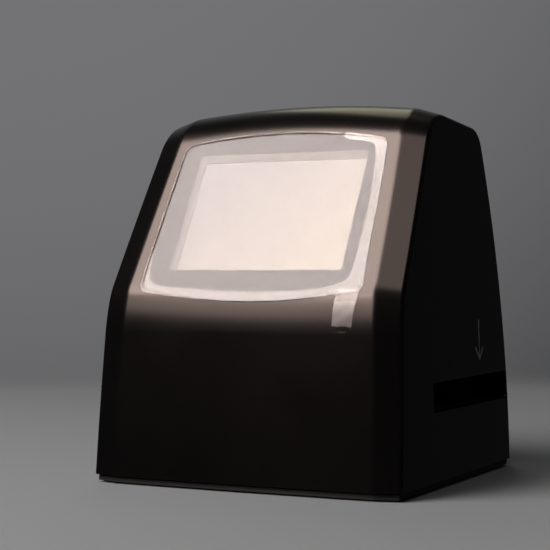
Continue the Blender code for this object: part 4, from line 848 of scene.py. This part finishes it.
def cut_ports(shell):
    for node in ("usb_socket", "video_jack"):
        low, high, _ = node_box(node)
        cut_port(shell, node + "_port", low, high, high.y + REAR_PORT_REACH, LOOK_BACK)
    low, high, _ = node_box("card_socket")
    cut_port(shell, "card_port", Vector((low.y, 0, low.z)), Vector((high.y, 0, high.z)),
             SIDE_PORT_REACH - low.x, LOOK_LEFT)


def cut_button_holes(shell):
    for name in BUTTONS:
        x, y, crest, radius = key_place(name)
        surface = crest - KEY_PROUD
        hole, mouth = circle(x, y, radius + GAP), circle(x, y, radius + GAP + HOLE_BEVEL)
        cut(shell, stack_piece(name + "_hole", [
            (hole, surface - WALL - HOLE_OVERRUN), (hole, surface - HOLE_BEVEL / 2),
            (mouth, surface + HOLE_BEVEL / 2), (mouth, surface + HOLE_OVERRUN)]))


def even_normals(piece):
    """Let the large faces set the shading, so that no sliver beside a cut shows."""
    modifier = piece.modifiers.new("even_normals", "WEIGHTED_NORMAL")
    modifier.keep_sharp = True
    apply_modifiers(piece)


cut_ports(shell)
cut_button_holes(shell)
even_normals(shell)
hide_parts("upper_casing")
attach(shell, "casing")
print("housing finished:", len(shell.data.polygons), "faces")

# %% [markdown]
# ## The window and the display behind it
# The window is a thin clear plate, flush with the panel.  A black border is printed just
# under it.  Below the print a pale mask fills the seat, and the display's cover glass sits in
# a hole of the mask.  The hole lies a little to the right and low, so the mask shows as a
# strip of another tone at the left and at the top.  The display sleeps: it is dark grey, and
# what looks like a lit screen is the softbox, mirrored by the window and again, softly, by the
# display's polariser, together with painted light in the display's colour, which grows paler
# and warmer towards the lower right.  Clear plastic is mixed from a transparent and a glossy
# shader by the angle of the surface, because light then reaches the display through it.

# %% Clear plastic and the display's own gloss
WINDOW_GLOSS = 0.0165
# painted light: the display's colour goes from its own dark grey to a paler, warmer tone towards
# the lower right
DISPLAY_COOL, DISPLAY_PAINTED_WARM_LIGHT = (0.085, 0.085, 0.085), (0.21, 0.18, 0.125)
MASK_GREY = (0.055, 0.05, 0.05)


def see_through(material, graph, shader, share, tint):
    """Let light pass a finish, apart from the share that its shader reflects."""
    graph.feed(shader.inputs["Metallic"], 1.0)
    clear = graph.node("ShaderNodeBsdfTransparent", {"Color": opaque((tint, tint, tint))})
    mixed = graph.node("ShaderNodeMixShader",
                       {0: share, 1: clear, 2: Value(graph, shader.outputs[0])})
    graph.feed(material.node_tree.nodes["Material Output"].inputs["Surface"], mixed)
    return material


def clear_window():
    """Clear plastic whose gloss grows towards grazing angles (Schlick's rule)."""
    material, graph, shader = finish("tinted_window", (1.0, 1.0, 1.0), 0.02)
    graph.feed(shader.inputs["Specular IOR Level"], 1.0)
    facing = graph.node("ShaderNodeLayerWeight", {"Blend": 0.5}, 1)
    share = WINDOW_GLOSS + (1 - WINDOW_GLOSS) * facing.math("POWER", 5.0)
    return see_through(material, graph, shader, share, 0.97)


def satin(name, colour, roughness):
    """A satin finish with slow changes of gloss, and its nodes."""
    material, graph, shader = finish(name, colour, roughness)
    graph.feed(shader.inputs["Roughness"], roughness + noise(graph, 60.0) * 0.02)
    return material, graph, shader


def display_glass():
    """The sleeping panel: dark grey and satin, with painted light that makes it paler and a
    little warmer to the lower right.
    """
    material, graph, shader = satin("display_glass", DISPLAY_COOL, 0.26)
    parts = graph.node("ShaderNodeSeparateXYZ", {0: object_place(graph)})
    across = (parts - parts.other("Z") + WINDOW_POINT.z * MM) * (1 / MM)
    graph.feed(shader.inputs["Base Color"],
               blend_colours(graph, across.step(-30.0, 40.0), DISPLAY_COOL, DISPLAY_PAINTED_WARM_LIGHT))
    return material


SURROUND_FINISH = satin("display_surround", MASK_GREY, 0.41)[0]
WINDOW_FINISH = clear_window()
DISPLAY_FINISH = display_glass()
BORDER_FINISH = moulded("printed_border", (0.008, 0.008, 0.009), 0.6, 0.002)


# %% Window plate, printed border, mask and cover glass
SNUG, FILLED, HAIR = 0.24, GAP - 0.03, 0.02
GLASS_THICKNESS, GLASS_SOFTNESS, PRINT_THICKNESS = 0.3, 0.05, 0.03
GLASS_EDGE_STEPS, COVER_SUNK = 3, 0.07
PRINT_TOP = -GLASS_THICKNESS - HAIR
PRINT_BOTTOM = PRINT_TOP - PRINT_THICKNESS
MASK_TOP, COVER_TOP = PRINT_BOTTOM - HAIR, PRINT_BOTTOM - COVER_SUNK
SIGHT_SHIFT = (0.06, 0.36)
PICTURE = ((-22.6, -18.0), (25.7, 15.77))


def make_window():
    soft = GLASS_SOFTNESS
    rings = [(window_outline(SNUG - soft), -GLASS_THICKNESS),
             (window_outline(SNUG), soft - GLASS_THICKNESS)]
    rings += [(window_outline(SNUG + soft * (math.cos(turn) - 1)), soft * (math.sin(turn) - 1))
              for turn in quarter_turns(GLASS_EDGE_STEPS)]
    rings.append((window_outline(-2 * soft), 0.0))
    window = stack_piece("screen_window_plate", rings, ON_SCREEN, WINDOW_FINISH, sharp=20)
    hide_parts("screen_window")
    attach(window, "casing")


def make_border():
    """A thin ring of print under the window."""
    border = stack_piece("window_border_print",
                         slab(window_outline(FILLED), PRINT_BOTTOM, PRINT_TOP),
                         ON_SCREEN, BORDER_FINISH)
    sight = [(x + SIGHT_SHIFT[0], y + SIGHT_SHIFT[1]) for x, y in SIGHT]
    cut(border, stack_piece("border_sight", slab(sight, PRINT_BOTTOM - 1, PRINT_TOP + 1),
                            ON_SCREEN))
    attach(border, "casing")


def make_cover_glass():
    """A pale mask that fills the seat under the print, and the cover glass in its hole."""
    mask = stack_piece("display_mask",
                       slab(window_outline(FILLED), SEAT_FLOOR + HAIR, MASK_TOP),
                       ON_SCREEN, SURROUND_FINISH)
    cut(mask, stack_piece("mask_hole", slab(rectangle(*PICTURE), SEAT_FLOOR - 1, 1.0),
                          ON_SCREEN))
    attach(mask, "casing")
    glass = stack_piece("display_cover_glass",
                        slab(rectangle(*PICTURE, -HAIR), SEAT_FLOOR + HAIR, COVER_TOP),
                        ON_SCREEN, DISPLAY_FINISH)
    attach(glass, "casing")


make_window()
make_border()
make_cover_glass()
print("window, border and cover glass made")

# %% [markdown]
# ## The protective film
# A clear film still covers the screen.  Where it sticks it hardly shows, but past the edge
# of the window it is loose: there it lies in small waves that catch the softbox, so it reads
# as a pale band with thin bright lines.  How strongly the loose rim reflects is partly painted:
# bright spots, a bright patch near the upper right corner and darker lines of fold shade are
# painted into its gloss.  Its pull tab hangs over the bend at the lower right.  The sheet is a
# fan of rings between two measured outlines, and each point remembers in an attribute how much
# it shines there, from how loose the film is and from the painted highlights and shade.

# %% Outlines of the film
FILM_STUCK = ((-30.4, -19.0), (-28.9, -21.6), (-27.0, -22.6), (-22.0, -23.2), (-14.3, -23.7),
              (-6.5, -24.3), (1.0, -24.4), (8.0, -24.2), (15.5, -23.8), (20.5, -23.2),
              (24.6, -22.3), (27.0, -20.9), (28.1, -18.8), (28.5, -12.3), (28.7, -4.5),
              (28.6, 3.0), (28.1, 10.0), (27.3, 16.3), (26.9, 19.0), (25.9, 20.4),
              (22.5, 21.2), (18.7, 21.8), (16.5, 23.0), (10.5, 23.8), (4.1, 24.1),
              (-4.0, 24.3), (-11.5, 24.0), (-18.5, 23.1), (-25.4, 22.0), (-28.0, 21.3),
              (-29.8, 19.3), (-30.3, 10.0), (-30.8, 0.0), (-31.1, -10.0))
FILM_EDGE = ((-32.1, -22.5), (-31.6, -24.0), (-29.8, -24.9), (-21.5, -25.9), (-13.6, -26.7),
             (-5.0, -27.1), (3.6, -27.2), (10.0, -26.9), (16.0, -26.3), (21.0, -25.7),
             (24.8, -25.1), (28.0, -24.7), (30.2, -24.2), (31.6, -23.6), (32.1, -22.2),
             (31.8, -17.5), (31.4, -12.3), (31.2, -4.5), (31.0, 3.0), (30.5, 11.0),
             (29.9, 18.9), (29.7, 20.8), (28.7, 21.9), (24.5, 22.9), (19.5, 23.7),
             (14.3, 24.3), (9.2, 24.7), (4.0, 24.9), (-4.0, 24.9), (-11.5, 24.6),
             (-18.5, 23.8), (-25.5, 22.6), (-29.0, 21.8), (-30.5, 19.8), (-31.1, 10.0),
             (-31.6, 0.0), (-31.9, -10.0))
FILM_RAYS, FILM_BAND_RINGS = 480, 24
FILM_LIFT, FILM_REST, FILM_RIPPLE, FILM_THICKNESS = 0.10, 0.06, 0.006, 0.05
STUCK_RINGS, STUCK_WANDER = (0.02, 0.35, 0.7, 0.9, 0.98), 0.10
# where across the rim the film's arch ends, its share of the lift, and the width of full lift
ARCH_SPAN, ARCH_SHARE, FULL_WIDTH = 1.15, 0.6, 2.0
# height, waves round the rim, phase, and turn of the phase across the rim
RIPPLES = ((1.0, 23, 1.0, 0.0), (0.7, 57, 0.0, 4.0), (0.4, 131, 2.0, 0.0))


def reach_of(outline, turn):
    """Distance from the middle to an outline in one direction."""
    way = Vector((math.cos(turn), math.sin(turn)))
    across = Vector((-way.y, way.x))
    best = 0.0
    for i, point in enumerate(outline):
        start, end = Vector(outline[i - 1]), Vector(point)
        a, b = start.dot(across), end.dot(across)
        if (a <= 0 < b) or (b <= 0 < a):
            best = max(best, start.lerp(end, a / (a - b)).dot(way))
    return best


def smoothed(values, passes):
    """Even out a closed list of numbers."""
    for _ in range(passes):
        values = [(values[i - 1] + 2 * v + values[(i + 1) % len(values)]) / 4
                  for i, v in enumerate(values)]
    return values


def ripple(place, band):
    """Height of the loose film's small waves at a place along the rim and across it."""
    waves = sum(height * math.sin(place * count + phase + turn * band)
                for height, count, phase, turn in RIPPLES)
    return FILM_RIPPLE * waves * math.sin(math.pi * min(1.0, band * 1.2))


# %% The sheet with its loose rim
STUCK_SHINE, NARROW_SHARE, LINE_WIDTH = 0.1, 0.8, 0.035
# painted highlights: brighter spots of shine along a narrow rim
SPOT_MEAN, SPOT_SWING, SPOT_WAVES = 0.65, 0.35, (31, 13)
# painted highlight: a brighter patch of shine near the upper right corner of the rim
CORNER_TURN, CORNER_SPREAD, CORNER_GLARE = 0.82, 0.22, 1.2
# widths between which a rim goes over from narrow to wide, and where a narrow one shines
WIDE_RIM, SHINY_EDGE = (1.15, 1.40), (0.45, 0.55)
# strength, place across the rim, sway, waves and phase of each line of painted fold shade that
# runs along the rim
FOLD_SHADES = ((0.45, 0.30, 0.06, 2, 1.0), (0.35, 0.66, 0.05, 3, 0.0))


def fold_shade_line(band, place):
    """1 on a thin line of painted fold shade that runs along the rim, 0 away from it."""
    return math.exp(-((band - place) / LINE_WIDTH) ** 2)


def film_shine_loose_and_painted(turn, band, width):
    """How much the film shines, from 0 to 1: all of a wide rim, the edge of a narrow one, with
    painted highlights and painted fold shade.
    """
    if band == 0:
        return STUCK_SHINE
    wide = ramp(width, *WIDE_RIM)
    fold_shade = sum(strength * fold_shade_line(band, place + sway * math.sin(waves * turn + phase))
                for strength, place, sway, waves, phase in FOLD_SHADES)
    spots = math.sin(turn * SPOT_WAVES[0]) * math.sin(turn * SPOT_WAVES[1] + 1)
    rim = ramp(band, *SHINY_EDGE) * (SPOT_MEAN + SPOT_SWING * spots)
    glare = 1 + CORNER_GLARE * math.exp(-((turn - CORNER_TURN) / CORNER_SPREAD) ** 2)
    return glare * (wide * (1 - fold_shade) + (1 - wide) * rim * NARROW_SHARE)


def film_rows():
    """Rings from the middle to the rim, and how much the film shines at each of their points,
    from its looseness and from painted light.
    """
    turns = [2 * math.pi * i / FILM_RAYS for i in range(FILM_RAYS)]
    stuck = smoothed([reach_of(FILM_STUCK, t) for t in turns], 2)
    stuck = [r + STUCK_WANDER * math.sin(37 * t + 2 * math.sin(5 * t))
             for r, t in zip(stuck, turns)]
    edge = smoothed([reach_of(FILM_EDGE, t) for t in turns], 1)
    rows = [[(r * share * math.cos(t), r * share * math.sin(t), FILM_REST)
             for r, t in zip(stuck, turns)] for share in STUCK_RINGS]
    loose_and_painted_shine = [[0.0] * FILM_RAYS for _ in STUCK_RINGS]
    for k in range(FILM_BAND_RINGS + 1):
        band = k / FILM_BAND_RINGS
        arch = math.sin(math.pi * min(1.0, band * ARCH_SPAN)) ** 2
        lift = FILM_LIFT * (arch * ARCH_SHARE + band * (1 - ARCH_SHARE))
        row, shine = [], []
        for t, inner, outer in zip(turns, stuck, edge):
            width = outer - inner
            reach = inner + width * band
            spread = min(1.0, width / FULL_WIDTH) ** 2
            height = FILM_REST + (lift + ripple(t, band)) * spread * min(1, band * 3)
            row.append((reach * math.cos(t), reach * math.sin(t), max(FILM_REST, height)))
            shine.append(film_shine_loose_and_painted(t, band, width))
        rows.append(row)
        loose_and_painted_shine.append(shine)
    return rows, loose_and_painted_shine


def sheet_piece(name, bm, material):
    """Give an open sheet of the film its thickness."""
    bmesh.ops.recalc_face_normals(bm, faces=bm.faces)
    piece = make_piece(name, bm, material)
    skin = piece.modifiers.new("sheet_thickness", "SOLIDIFY")
    skin.thickness = FILM_THICKNESS * MM
    skin.offset = 1
    return frozen(piece, 80)


def make_film_sheet(material):
    rows, loose_and_painted_shine = film_rows()
    bm = bmesh.new()
    # the attribute holds the film's shine: real where the film is loose, plus painted highlights
    # and fold shade
    layer = bm.verts.layers.float.new("loose_and_painted_shine")
    grid = add_grid(bm, [[ON_SCREEN @ Vector(p) for p in row] for row in rows], closed=True)
    for row, shares in zip(grid, loose_and_painted_shine):
        for vert, share in zip(row, shares):
            vert[layer] = share
    bm.faces.new(grid[0])
    return sheet_piece("protective_film_sheet", bm, material)


# %% The pull tab
TAB_START, TAB_LENGTH = -23.6, 11.6
TAB_LEFT, TAB_LEFT_END = 25.5, 25.7
TAB_RIGHT, TAB_RIGHT_END = 31.6, 30.9
TAB_LIFT, TAB_CORNER, TAB_TAPER = 0.35, 1.1, (0.92, 1.0)
TAB_STEPS, TAB_COLUMNS = 60, 12
TAB_BOW, TAB_WAVE, TAB_WANDER = 0.06, 0.02, 0.008
# degrees that the stiff film leans back from the screen's plane, along its length
TAB_BEND = ((0.0, 0.0), (0.30, 0.0), (0.60, 16.0), (1.0, 22.0))
# how glossy and how hazy the film is along the tab
TAB_GLOSS = ((0.0, 1.0), (0.30, 1.0), (0.42, 0.4), (0.86, 0.4), (0.87, 0.0), (1.0, 0.0))
TAB_HAZE = ((0.0, 0.0), (0.28, 0.0), (0.42, 1.0), (0.86, 0.9), (0.87, 0.0), (0.975, 0.0),
            (0.98, 0.6), (1.0, 0.6))


def make_film_tab(material):
    """The tab starts in the screen's plane and leans back further along its length."""
    bm = bmesh.new()
    gloss = bm.verts.layers.float.new("loose_and_painted_shine")
    haze = bm.verts.layers.float.new("haze")
    point = SCREEN_ORIGIN + travel(SCREEN_TILT) * TAB_START + normal(SCREEN_TILT) * TAB_LIFT
    rows = []
    for i in range(TAB_STEPS + 1):
        share = i / TAB_STEPS
        narrowed = TAB_CORNER * ramp(share, *TAB_TAPER) ** 2
        left = TAB_LEFT + (TAB_LEFT_END - TAB_LEFT) * share + narrowed
        right = TAB_RIGHT + (TAB_RIGHT_END - TAB_RIGHT) * share - narrowed
        angle = SCREEN_TILT - math.radians(between(TAB_BEND, share))
        row = []
        for j in range(TAB_COLUMNS + 1):
            across = j / TAB_COLUMNS
            bow = TAB_BOW * math.sin(math.pi * across) * min(1.0, share * 4)
            place = point + normal(angle) * (bow + TAB_WAVE * math.sin(share * 15 + j * 0.5))
            row.append(Vector((left + (right - left) * across, place.y, place.z)))
        rows.append(row)
        point = point - travel(angle) * (TAB_LENGTH / TAB_STEPS)
    for i, row in enumerate(add_grid(bm, rows)):
        for j, vert in enumerate(row):
            share = i / TAB_STEPS + TAB_WANDER * math.sin(j * 0.9 + 1)
            vert[gloss] = between(TAB_GLOSS, share)
            vert[haze] = between(TAB_HAZE, share)
    return sheet_piece("protective_film_tab", bm, material)


# %% Film finish
FILM_STUCK_GLOSS, FILM_LOOSE_AND_PAINTED_GLOSS, FILM_ROUGHNESS = 0.001, 0.0175, 0.07
HAZE_SHARE, HAZE_ROUGHNESS = 0.030, 0.40


def film_finish():
    """Clear where it sticks, a pale gloss where it is loose and where highlights are painted,
    milky along the pull tab.
    """
    material, graph, shader = finish("clear_film", (0.95, 0.93, 0.92), FILM_ROUGHNESS)
    loose_and_painted_shine, haze = (graph.node("ShaderNodeAttribute", attribute_name=name).other("Fac")
                   for name in ("loose_and_painted_shine", "haze"))
    streaks = noise(graph, 90.0).step(0.3, 0.8)
    share = FILM_STUCK_GLOSS + loose_and_painted_shine * (FILM_LOOSE_AND_PAINTED_GLOSS * (0.92 + streaks * 0.16))
    graph.feed(shader.inputs["Roughness"], FILM_ROUGHNESS + haze * HAZE_ROUGHNESS)
    return see_through(material, graph, shader, share + haze * HAZE_SHARE, 0.99)


FILM_FINISH = film_finish()
film_sheet = make_film_sheet(FILM_FINISH)
film_tab = make_film_tab(FILM_FINISH)
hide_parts("protective_film")
for piece in (film_sheet, film_tab):
    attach(piece, "casing")
print("film points:", len(film_sheet.data.vertices) + len(film_tab.data.vertices))

# %% [markdown]
# ## Marks and buttons
# An engraved arrow over each mouth of the slot is filled with pale paint.  Five buttons
# stand a little proud of the top: each is a turned cap with a soft rim, and a generic sign
# is printed on it.  The caps ride on their own bodies, so they can be pressed.

# %% Paint in the arrows
PAINT_FINISH = moulded("arrow_paint", (0.30, 0.30, 0.30), 0.5, 0.004)
PAINT_GAP, PAINT_ROOT, PAINT_SUNK = 0.03, 0.05, 0.1


def fill_arrow(name, sign):
    rings = slab(arrow_outline(-PAINT_GAP), -ARROW_DEPTH - PAINT_ROOT, -PAINT_SUNK)
    piece = stack_piece(name, rings, side_frame(sign, ARROW_Y, ARROW_BOTTOM), PAINT_FINISH)
    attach(piece, "casing")


fill_arrow("arrow_paint_left", -1)
fill_arrow("arrow_paint_right", 1)
print("arrows painted")


# %% Signs for the buttons
SIGN_LINE, SIGN_HEIGHT, SIGN_ROOT = 0.42, 0.05, 0.35


def ring_sector(radius, start, end, steps=24):
    """Outline of an arc of a ring between two angles in degrees."""
    turns = [math.radians(start + (end - start) * i / steps) for i in range(steps + 1)]
    outer, inner = ([(r * math.cos(t), r * math.sin(t)) for t in turns]
                    for r in (radius + SIGN_LINE / 2, radius - SIGN_LINE / 2))
    return outer + inner[::-1]


def bar(x, y, half_x, half_y):
    return rectangle((x - half_x, y - half_y), (x + half_x, y + half_y))


SIGNS = {
    "power_button": [ring_sector(1.35, -235, 55), bar(0, 1.35, SIGN_LINE / 2, 0.85)],
    "back_button": [[(-1.4, 0), (0.9, -1.4), (0.9, 1.4)]],
    "scan_button": [ring_sector(1.9, -179.9, 0), ring_sector(1.9, 0, 179.9)],
    "forward_button": [[(1.4, 0), (-0.9, 1.4), (-0.9, -1.4)]],
    "menu_button": [bar(0, y, 1.4, SIGN_LINE / 2) for y in (-1.0, 0.0, 1.0)],
}


# %% Turned caps
KEY_DOME, KEY_RIM_SOFTNESS, KEY_RIM_DROP, KEY_RIM_RISE = 0.35, 0.5, 0.45, 0.6
KEY_DOME_STEPS, KEY_RIM_STEPS = 6, 5
KEY_FLANGE_THICKNESS, KEY_STEM_RADIUS = 0.8, 1.6


def cap_outline(radius, height, depth):
    """(radius, height) of a cap down from its crest: dome, soft rim, skirt, flange, stem."""
    soft = KEY_RIM_SOFTNESS
    rim_height = height - KEY_DOME
    points = [((radius - soft) * share, height - KEY_DOME * 0.6 * share ** 2)
              for share in (i / KEY_DOME_STEPS for i in range(KEY_DOME_STEPS))]
    points += [(radius - soft + soft * math.sin(turn),
                rim_height - soft * KEY_RIM_DROP + soft * KEY_RIM_RISE * math.cos(turn))
               for turn in quarter_turns(KEY_RIM_STEPS)]
    seat, stem_end = depth
    points += [(radius, seat), (radius + KEY_FLANGE, seat),
               (radius + KEY_FLANGE, seat - KEY_FLANGE_THICKNESS),
               (KEY_STEM_RADIUS, seat - KEY_FLANGE_THICKNESS), (KEY_STEM_RADIUS, stem_end),
               (0, stem_end)]
    return points


def flange_seat(name):
    """Heights of a packed button's flange, its widest points, and of its stem's end."""
    low, high, middle = node_box(name)
    reach = (high.x - low.x) / 2
    heights = [v.co.z / MM for v in bpy.data.objects[name].data.vertices
               if abs(math.hypot(v.co.x / MM - middle.x, v.co.y / MM - middle.y) - reach) < 0.1]
    return max(heights), low.z


def make_cap(name):
    x, y, crest, radius = key_place(name)
    bm = bmesh.new()
    add_lathe(bm, cap_outline(radius, crest, flange_seat(name)), x, y)
    cap = make_piece(name + "_cap", bm, KEY_FINISH, sharp=40)
    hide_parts(name)
    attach(cap, name + "_body")
    bm = bmesh.new()
    for outline in SIGNS[name]:
        add_stack(bm, slab(outline, -SIGN_ROOT, SIGN_HEIGHT),
                  Matrix.Translation((x, y, crest - KEY_DOME * 0.12)))
    sign = make_piece(name + "_sign", bm, PRINT_FINISH)
    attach(sign, name + "_body")


for button in BUTTONS:
    make_cap(button)
print("caps made:", len(BUTTONS))

# %% [markdown]
# ## Feet, screws and contacts
# Four rubber feet carry the scanner, and four screws close the base from below.  Screws and
# contacts repeat, so Geometry Nodes make them: a tree takes the places as points, builds one
# screw from its sizes, and puts a copy on every point.

# %% A geometry tree with named inputs
def geometry_tree(name, inputs):
    """A tree with a geometry input, named float inputs and a geometry output."""
    tree = bpy.data.node_groups.new(name, "GeometryNodeTree")
    tree.interface.new_socket("Geometry", in_out="INPUT", socket_type="NodeSocketGeometry")
    for label in inputs:
        tree.interface.new_socket(label, in_out="INPUT", socket_type="NodeSocketFloat")
    tree.interface.new_socket("Geometry", in_out="OUTPUT", socket_type="NodeSocketGeometry")
    graph = Graph(tree)
    return graph, graph.node("NodeGroupInput")


def close_tree(graph, sizes, shape, material):
    """Put a copy of a shape on every point, as plain meshes with their material."""
    spots = graph.node("GeometryNodeMeshToPoints", {0: sizes})
    copies = graph.node("GeometryNodeInstanceOnPoints", {"Points": spots, "Instance": shape})
    plain = graph.node("GeometryNodeRealizeInstances", {0: copies})
    dressed = graph.node("GeometryNodeSetMaterial", {0: plain, "Material": material})
    graph.node("NodeGroupOutput", {0: dressed})
    return graph


def run_tree(name, graph, points, values):
    """Make a piece by running a tree on points given in millimetres."""
    mesh = bpy.data.meshes.new(name)
    mesh.from_pydata([Vector(point) * MM for point in points], [], [])
    piece = bpy.data.objects.new(name, mesh)
    scene.collection.objects.link(piece)
    modifier = piece.modifiers.new(name, "NODES")
    modifier.node_group = graph.tree
    sockets = {item.name: item.identifier for item in graph.tree.interface.items_tree
               if item.in_out == "INPUT"}
    for label, value in values.items():
        modifier[sockets[label]] = value * MM
    frozen(piece)
    print(name, "faces:", len(piece.data.polygons))
    return piece


def vector_of(graph, x, y, z):
    return graph.node("ShaderNodeCombineXYZ", {0: x, 1: y, 2: z})


# %% Case screws with a cross recess
def rod(graph, radius, length, middle, sides):
    """A closed cylinder about the Z axis, moved to its middle height."""
    cylinder = graph.node("GeometryNodeMeshCylinder",
                          {"Vertices": sides, "Radius": radius, "Depth": length})
    return graph.node("GeometryNodeTransform",
                      {0: cylinder, "Translation": vector_of(graph, 0.0, 0.0, middle)})


def joined(graph, first, second):
    """The union of two closed meshes."""
    both = graph.node("GeometryNodeMeshBoolean", {1: first}, operation="UNION")
    graph.tree.links.new(second.socket, both.socket.node.inputs[1])
    return both


def screw_tree():
    """A pan-head screw that points up, with a cross cut into the face of its head."""
    labels = ("Shank Radius", "Shank Length", "Head Radius", "Head Height")
    graph, sizes = geometry_tree("case_screw_tree", labels)
    shank, length, head, height = (sizes.other(label) for label in labels)
    arm = graph.node("GeometryNodeMeshCube",
                     {0: vector_of(graph, head * 1.2, head * 0.26, height * 1.2)})
    turned = graph.node("GeometryNodeTransform", {0: arm, "Rotation": (0.0, 0.0, math.pi / 2)})
    cross = graph.node("GeometryNodeTransform", {
        0: joined(graph, arm, turned), "Translation": vector_of(graph, 0.0, 0.0, height * -1.0)})
    recessed = graph.node("GeometryNodeMeshBoolean",
                          {0: rod(graph, head, height, height * -0.5, 32), 1: cross},
                          operation="DIFFERENCE")
    screw = joined(graph, recessed, rod(graph, shank, length, length * 0.5, 24))
    return close_tree(graph, sizes, screw, STEEL_FINISH)


CORNERS = ("front_left", "front_right", "rear_left", "rear_right")
HEAD_HEIGHT, SHANK_RADIUS = 1.3, 1.1


def make_case_screws():
    names = ["case_screw_" + corner for corner in CORNERS]
    boxes = [node_box(name) for name in names]
    points = [(middle.x, middle.y, low.z + HEAD_HEIGHT) for low, _, middle in boxes]
    low, high, _ = boxes[0]
    screws = run_tree("case_screws", screw_tree(), points, {
        "Shank Radius": SHANK_RADIUS, "Shank Length": high.z - low.z - HEAD_HEIGHT,
        "Head Radius": (high.x - low.x) / 2, "Head Height": HEAD_HEIGHT})
    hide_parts(*names)
    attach(screws, "casing")


make_case_screws()


# %% Feet with two grooves
# (inwards from the rim, height) of the lower corner, and grooves as shares of the radius
FOOT_CORNER, FOOT_GROOVES = ((0.0, 0.35), (0.1, 0.12), (0.35, 0.0)), (0.72, 0.42)
GROOVE_MOUTH, GROOVE_FLOOR, GROOVE_DEPTH = 0.3, 0.15, 0.25


def make_foot(corner):
    low, high, middle = node_box("foot_" + corner)
    radius, height = (high.x - low.x) / 2, high.z
    outline = [(0, height), (radius, height)]
    outline += [(radius - inwards, rise) for inwards, rise in FOOT_CORNER]
    for centre in (radius * share for share in FOOT_GROOVES):
        outline += [(centre + GROOVE_MOUTH, 0.0), (centre + GROOVE_FLOOR, GROOVE_DEPTH),
                    (centre - GROOVE_FLOOR, GROOVE_DEPTH), (centre - GROOVE_MOUTH, 0.0)]
    outline.append((0, 0.0))
    bm = bmesh.new()
    add_lathe(bm, outline, middle.x, middle.y)
    foot = make_piece("rubber_foot_" + corner, bm, RUBBER_FINISH, sharp=25)
    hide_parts("foot_" + corner)
    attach(foot, "casing")


for corner in CORNERS:
    make_foot(corner)
print("feet made:", len(CORNERS))


# %% Gold contacts in the sockets
CONTACT_HEIGHT = 0.12
# pitch, distance from the socket's face, height in the socket, (width, length)
USB_PITCH, USB_DEPTH, USB_RISE, USB_SIZE = 0.8, 3.2, 0.56, (0.4, 4.4)
CARD_PITCH, CARD_DEPTH, CARD_RISE, CARD_SIZE = 2.4, 5.0, 0.62, (6.0, 1.1)


def make_contacts(name, points, width, length):
    """A flat spring contact on every point."""
    labels = ("Width", "Length", "Height")
    graph, sizes = geometry_tree("contact_tree", labels)
    strip = graph.node("GeometryNodeMeshCube",
                       {0: vector_of(graph, *(sizes.other(label) for label in labels))})
    close_tree(graph, sizes, strip, GOLD_FINISH)
    piece = run_tree(name, graph, points, dict(zip(labels, (width, length, CONTACT_HEIGHT))))
    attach(piece, "casing")


_, high, middle = node_box("usb_socket")
make_contacts("usb_contacts",
              [(middle.x + USB_PITCH * i, high.y - USB_DEPTH, middle.z + USB_RISE)
               for i in range(-2, 3)], *USB_SIZE)
low, high, middle = node_box("card_socket")
make_contacts("card_contacts",
              [(high.x - CARD_DEPTH, middle.y + CARD_PITCH * i, low.z + CARD_RISE)
               for i in range(-4, 5)], *CARD_SIZE)

# %% [markdown]
# ## Inner parts
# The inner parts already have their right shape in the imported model.  They keep their meshes
# and get a finish each: this is what shows through the slot, the ports and an opened case.

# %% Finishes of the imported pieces
def ribbon_finish():
    """A flat cable: parallel conductors seen through a pale film."""
    material, graph, shader = finish("ribbon_conductors", (0.7, 0.68, 0.6), 0.35)
    parts = graph.node("ShaderNodeSeparateXYZ", {0: object_place(graph)})
    stripe = (parts * (1 / MM)).math("PINGPONG", 0.5).step(0.2, 0.3)
    graph.feed(shader.inputs["Base Color"],
               blend_colours(graph, stripe, (0.75, 0.72, 0.64), (0.42, 0.40, 0.36)))
    bump(graph, shader, stripe, 0.02)
    return material


PACKED_FINISHES = {
    SURROUND_FINISH: ["display_frame"],
    MATT_FINISH: ["base_plate", "film_guide_lower", "film_guide_upper",
                  "lens_tunnel", "lens_holder", "lens_barrel"],
    DISPLAY_FINISH: ["display_panel"],
    WHITE_FINISH: ["light_box", "light_diffuser"] + ["led_" + corner for corner in CORNERS],
    BOARD_FINISH: ["light_board", "main_board", "sensor_board", "key_board"],
    CHIP_FINISH: ["video_jack", "image_sensor"] + [name.replace("button", "switch")
                                                   for name in BUTTONS],
    LENS_FINISH: ["lens_front", "lens_rear"],
    STEEL_FINISH: ["film_spring_front", "film_spring_rear", "usb_socket", "card_socket"]
                  + [f"{kind}_screw_{side}" for kind in ("display", "key_board", "sensor")
                     for side in ("left", "right")]
                  + [f"board_screw_{i}" for i in range(1, 5)],
    ribbon_finish(): ["display_ribbon", "sensor_ribbon", "key_ribbon"],
}


def dress_packed():
    for material, names in PACKED_FINISHES.items():
        for name in names:
            for place in bpy.data.objects[name].material_slots:
                place.material = material
    print("packed pieces dressed:", sum(len(names) for names in PACKED_FINISHES.values()))


dress_packed()
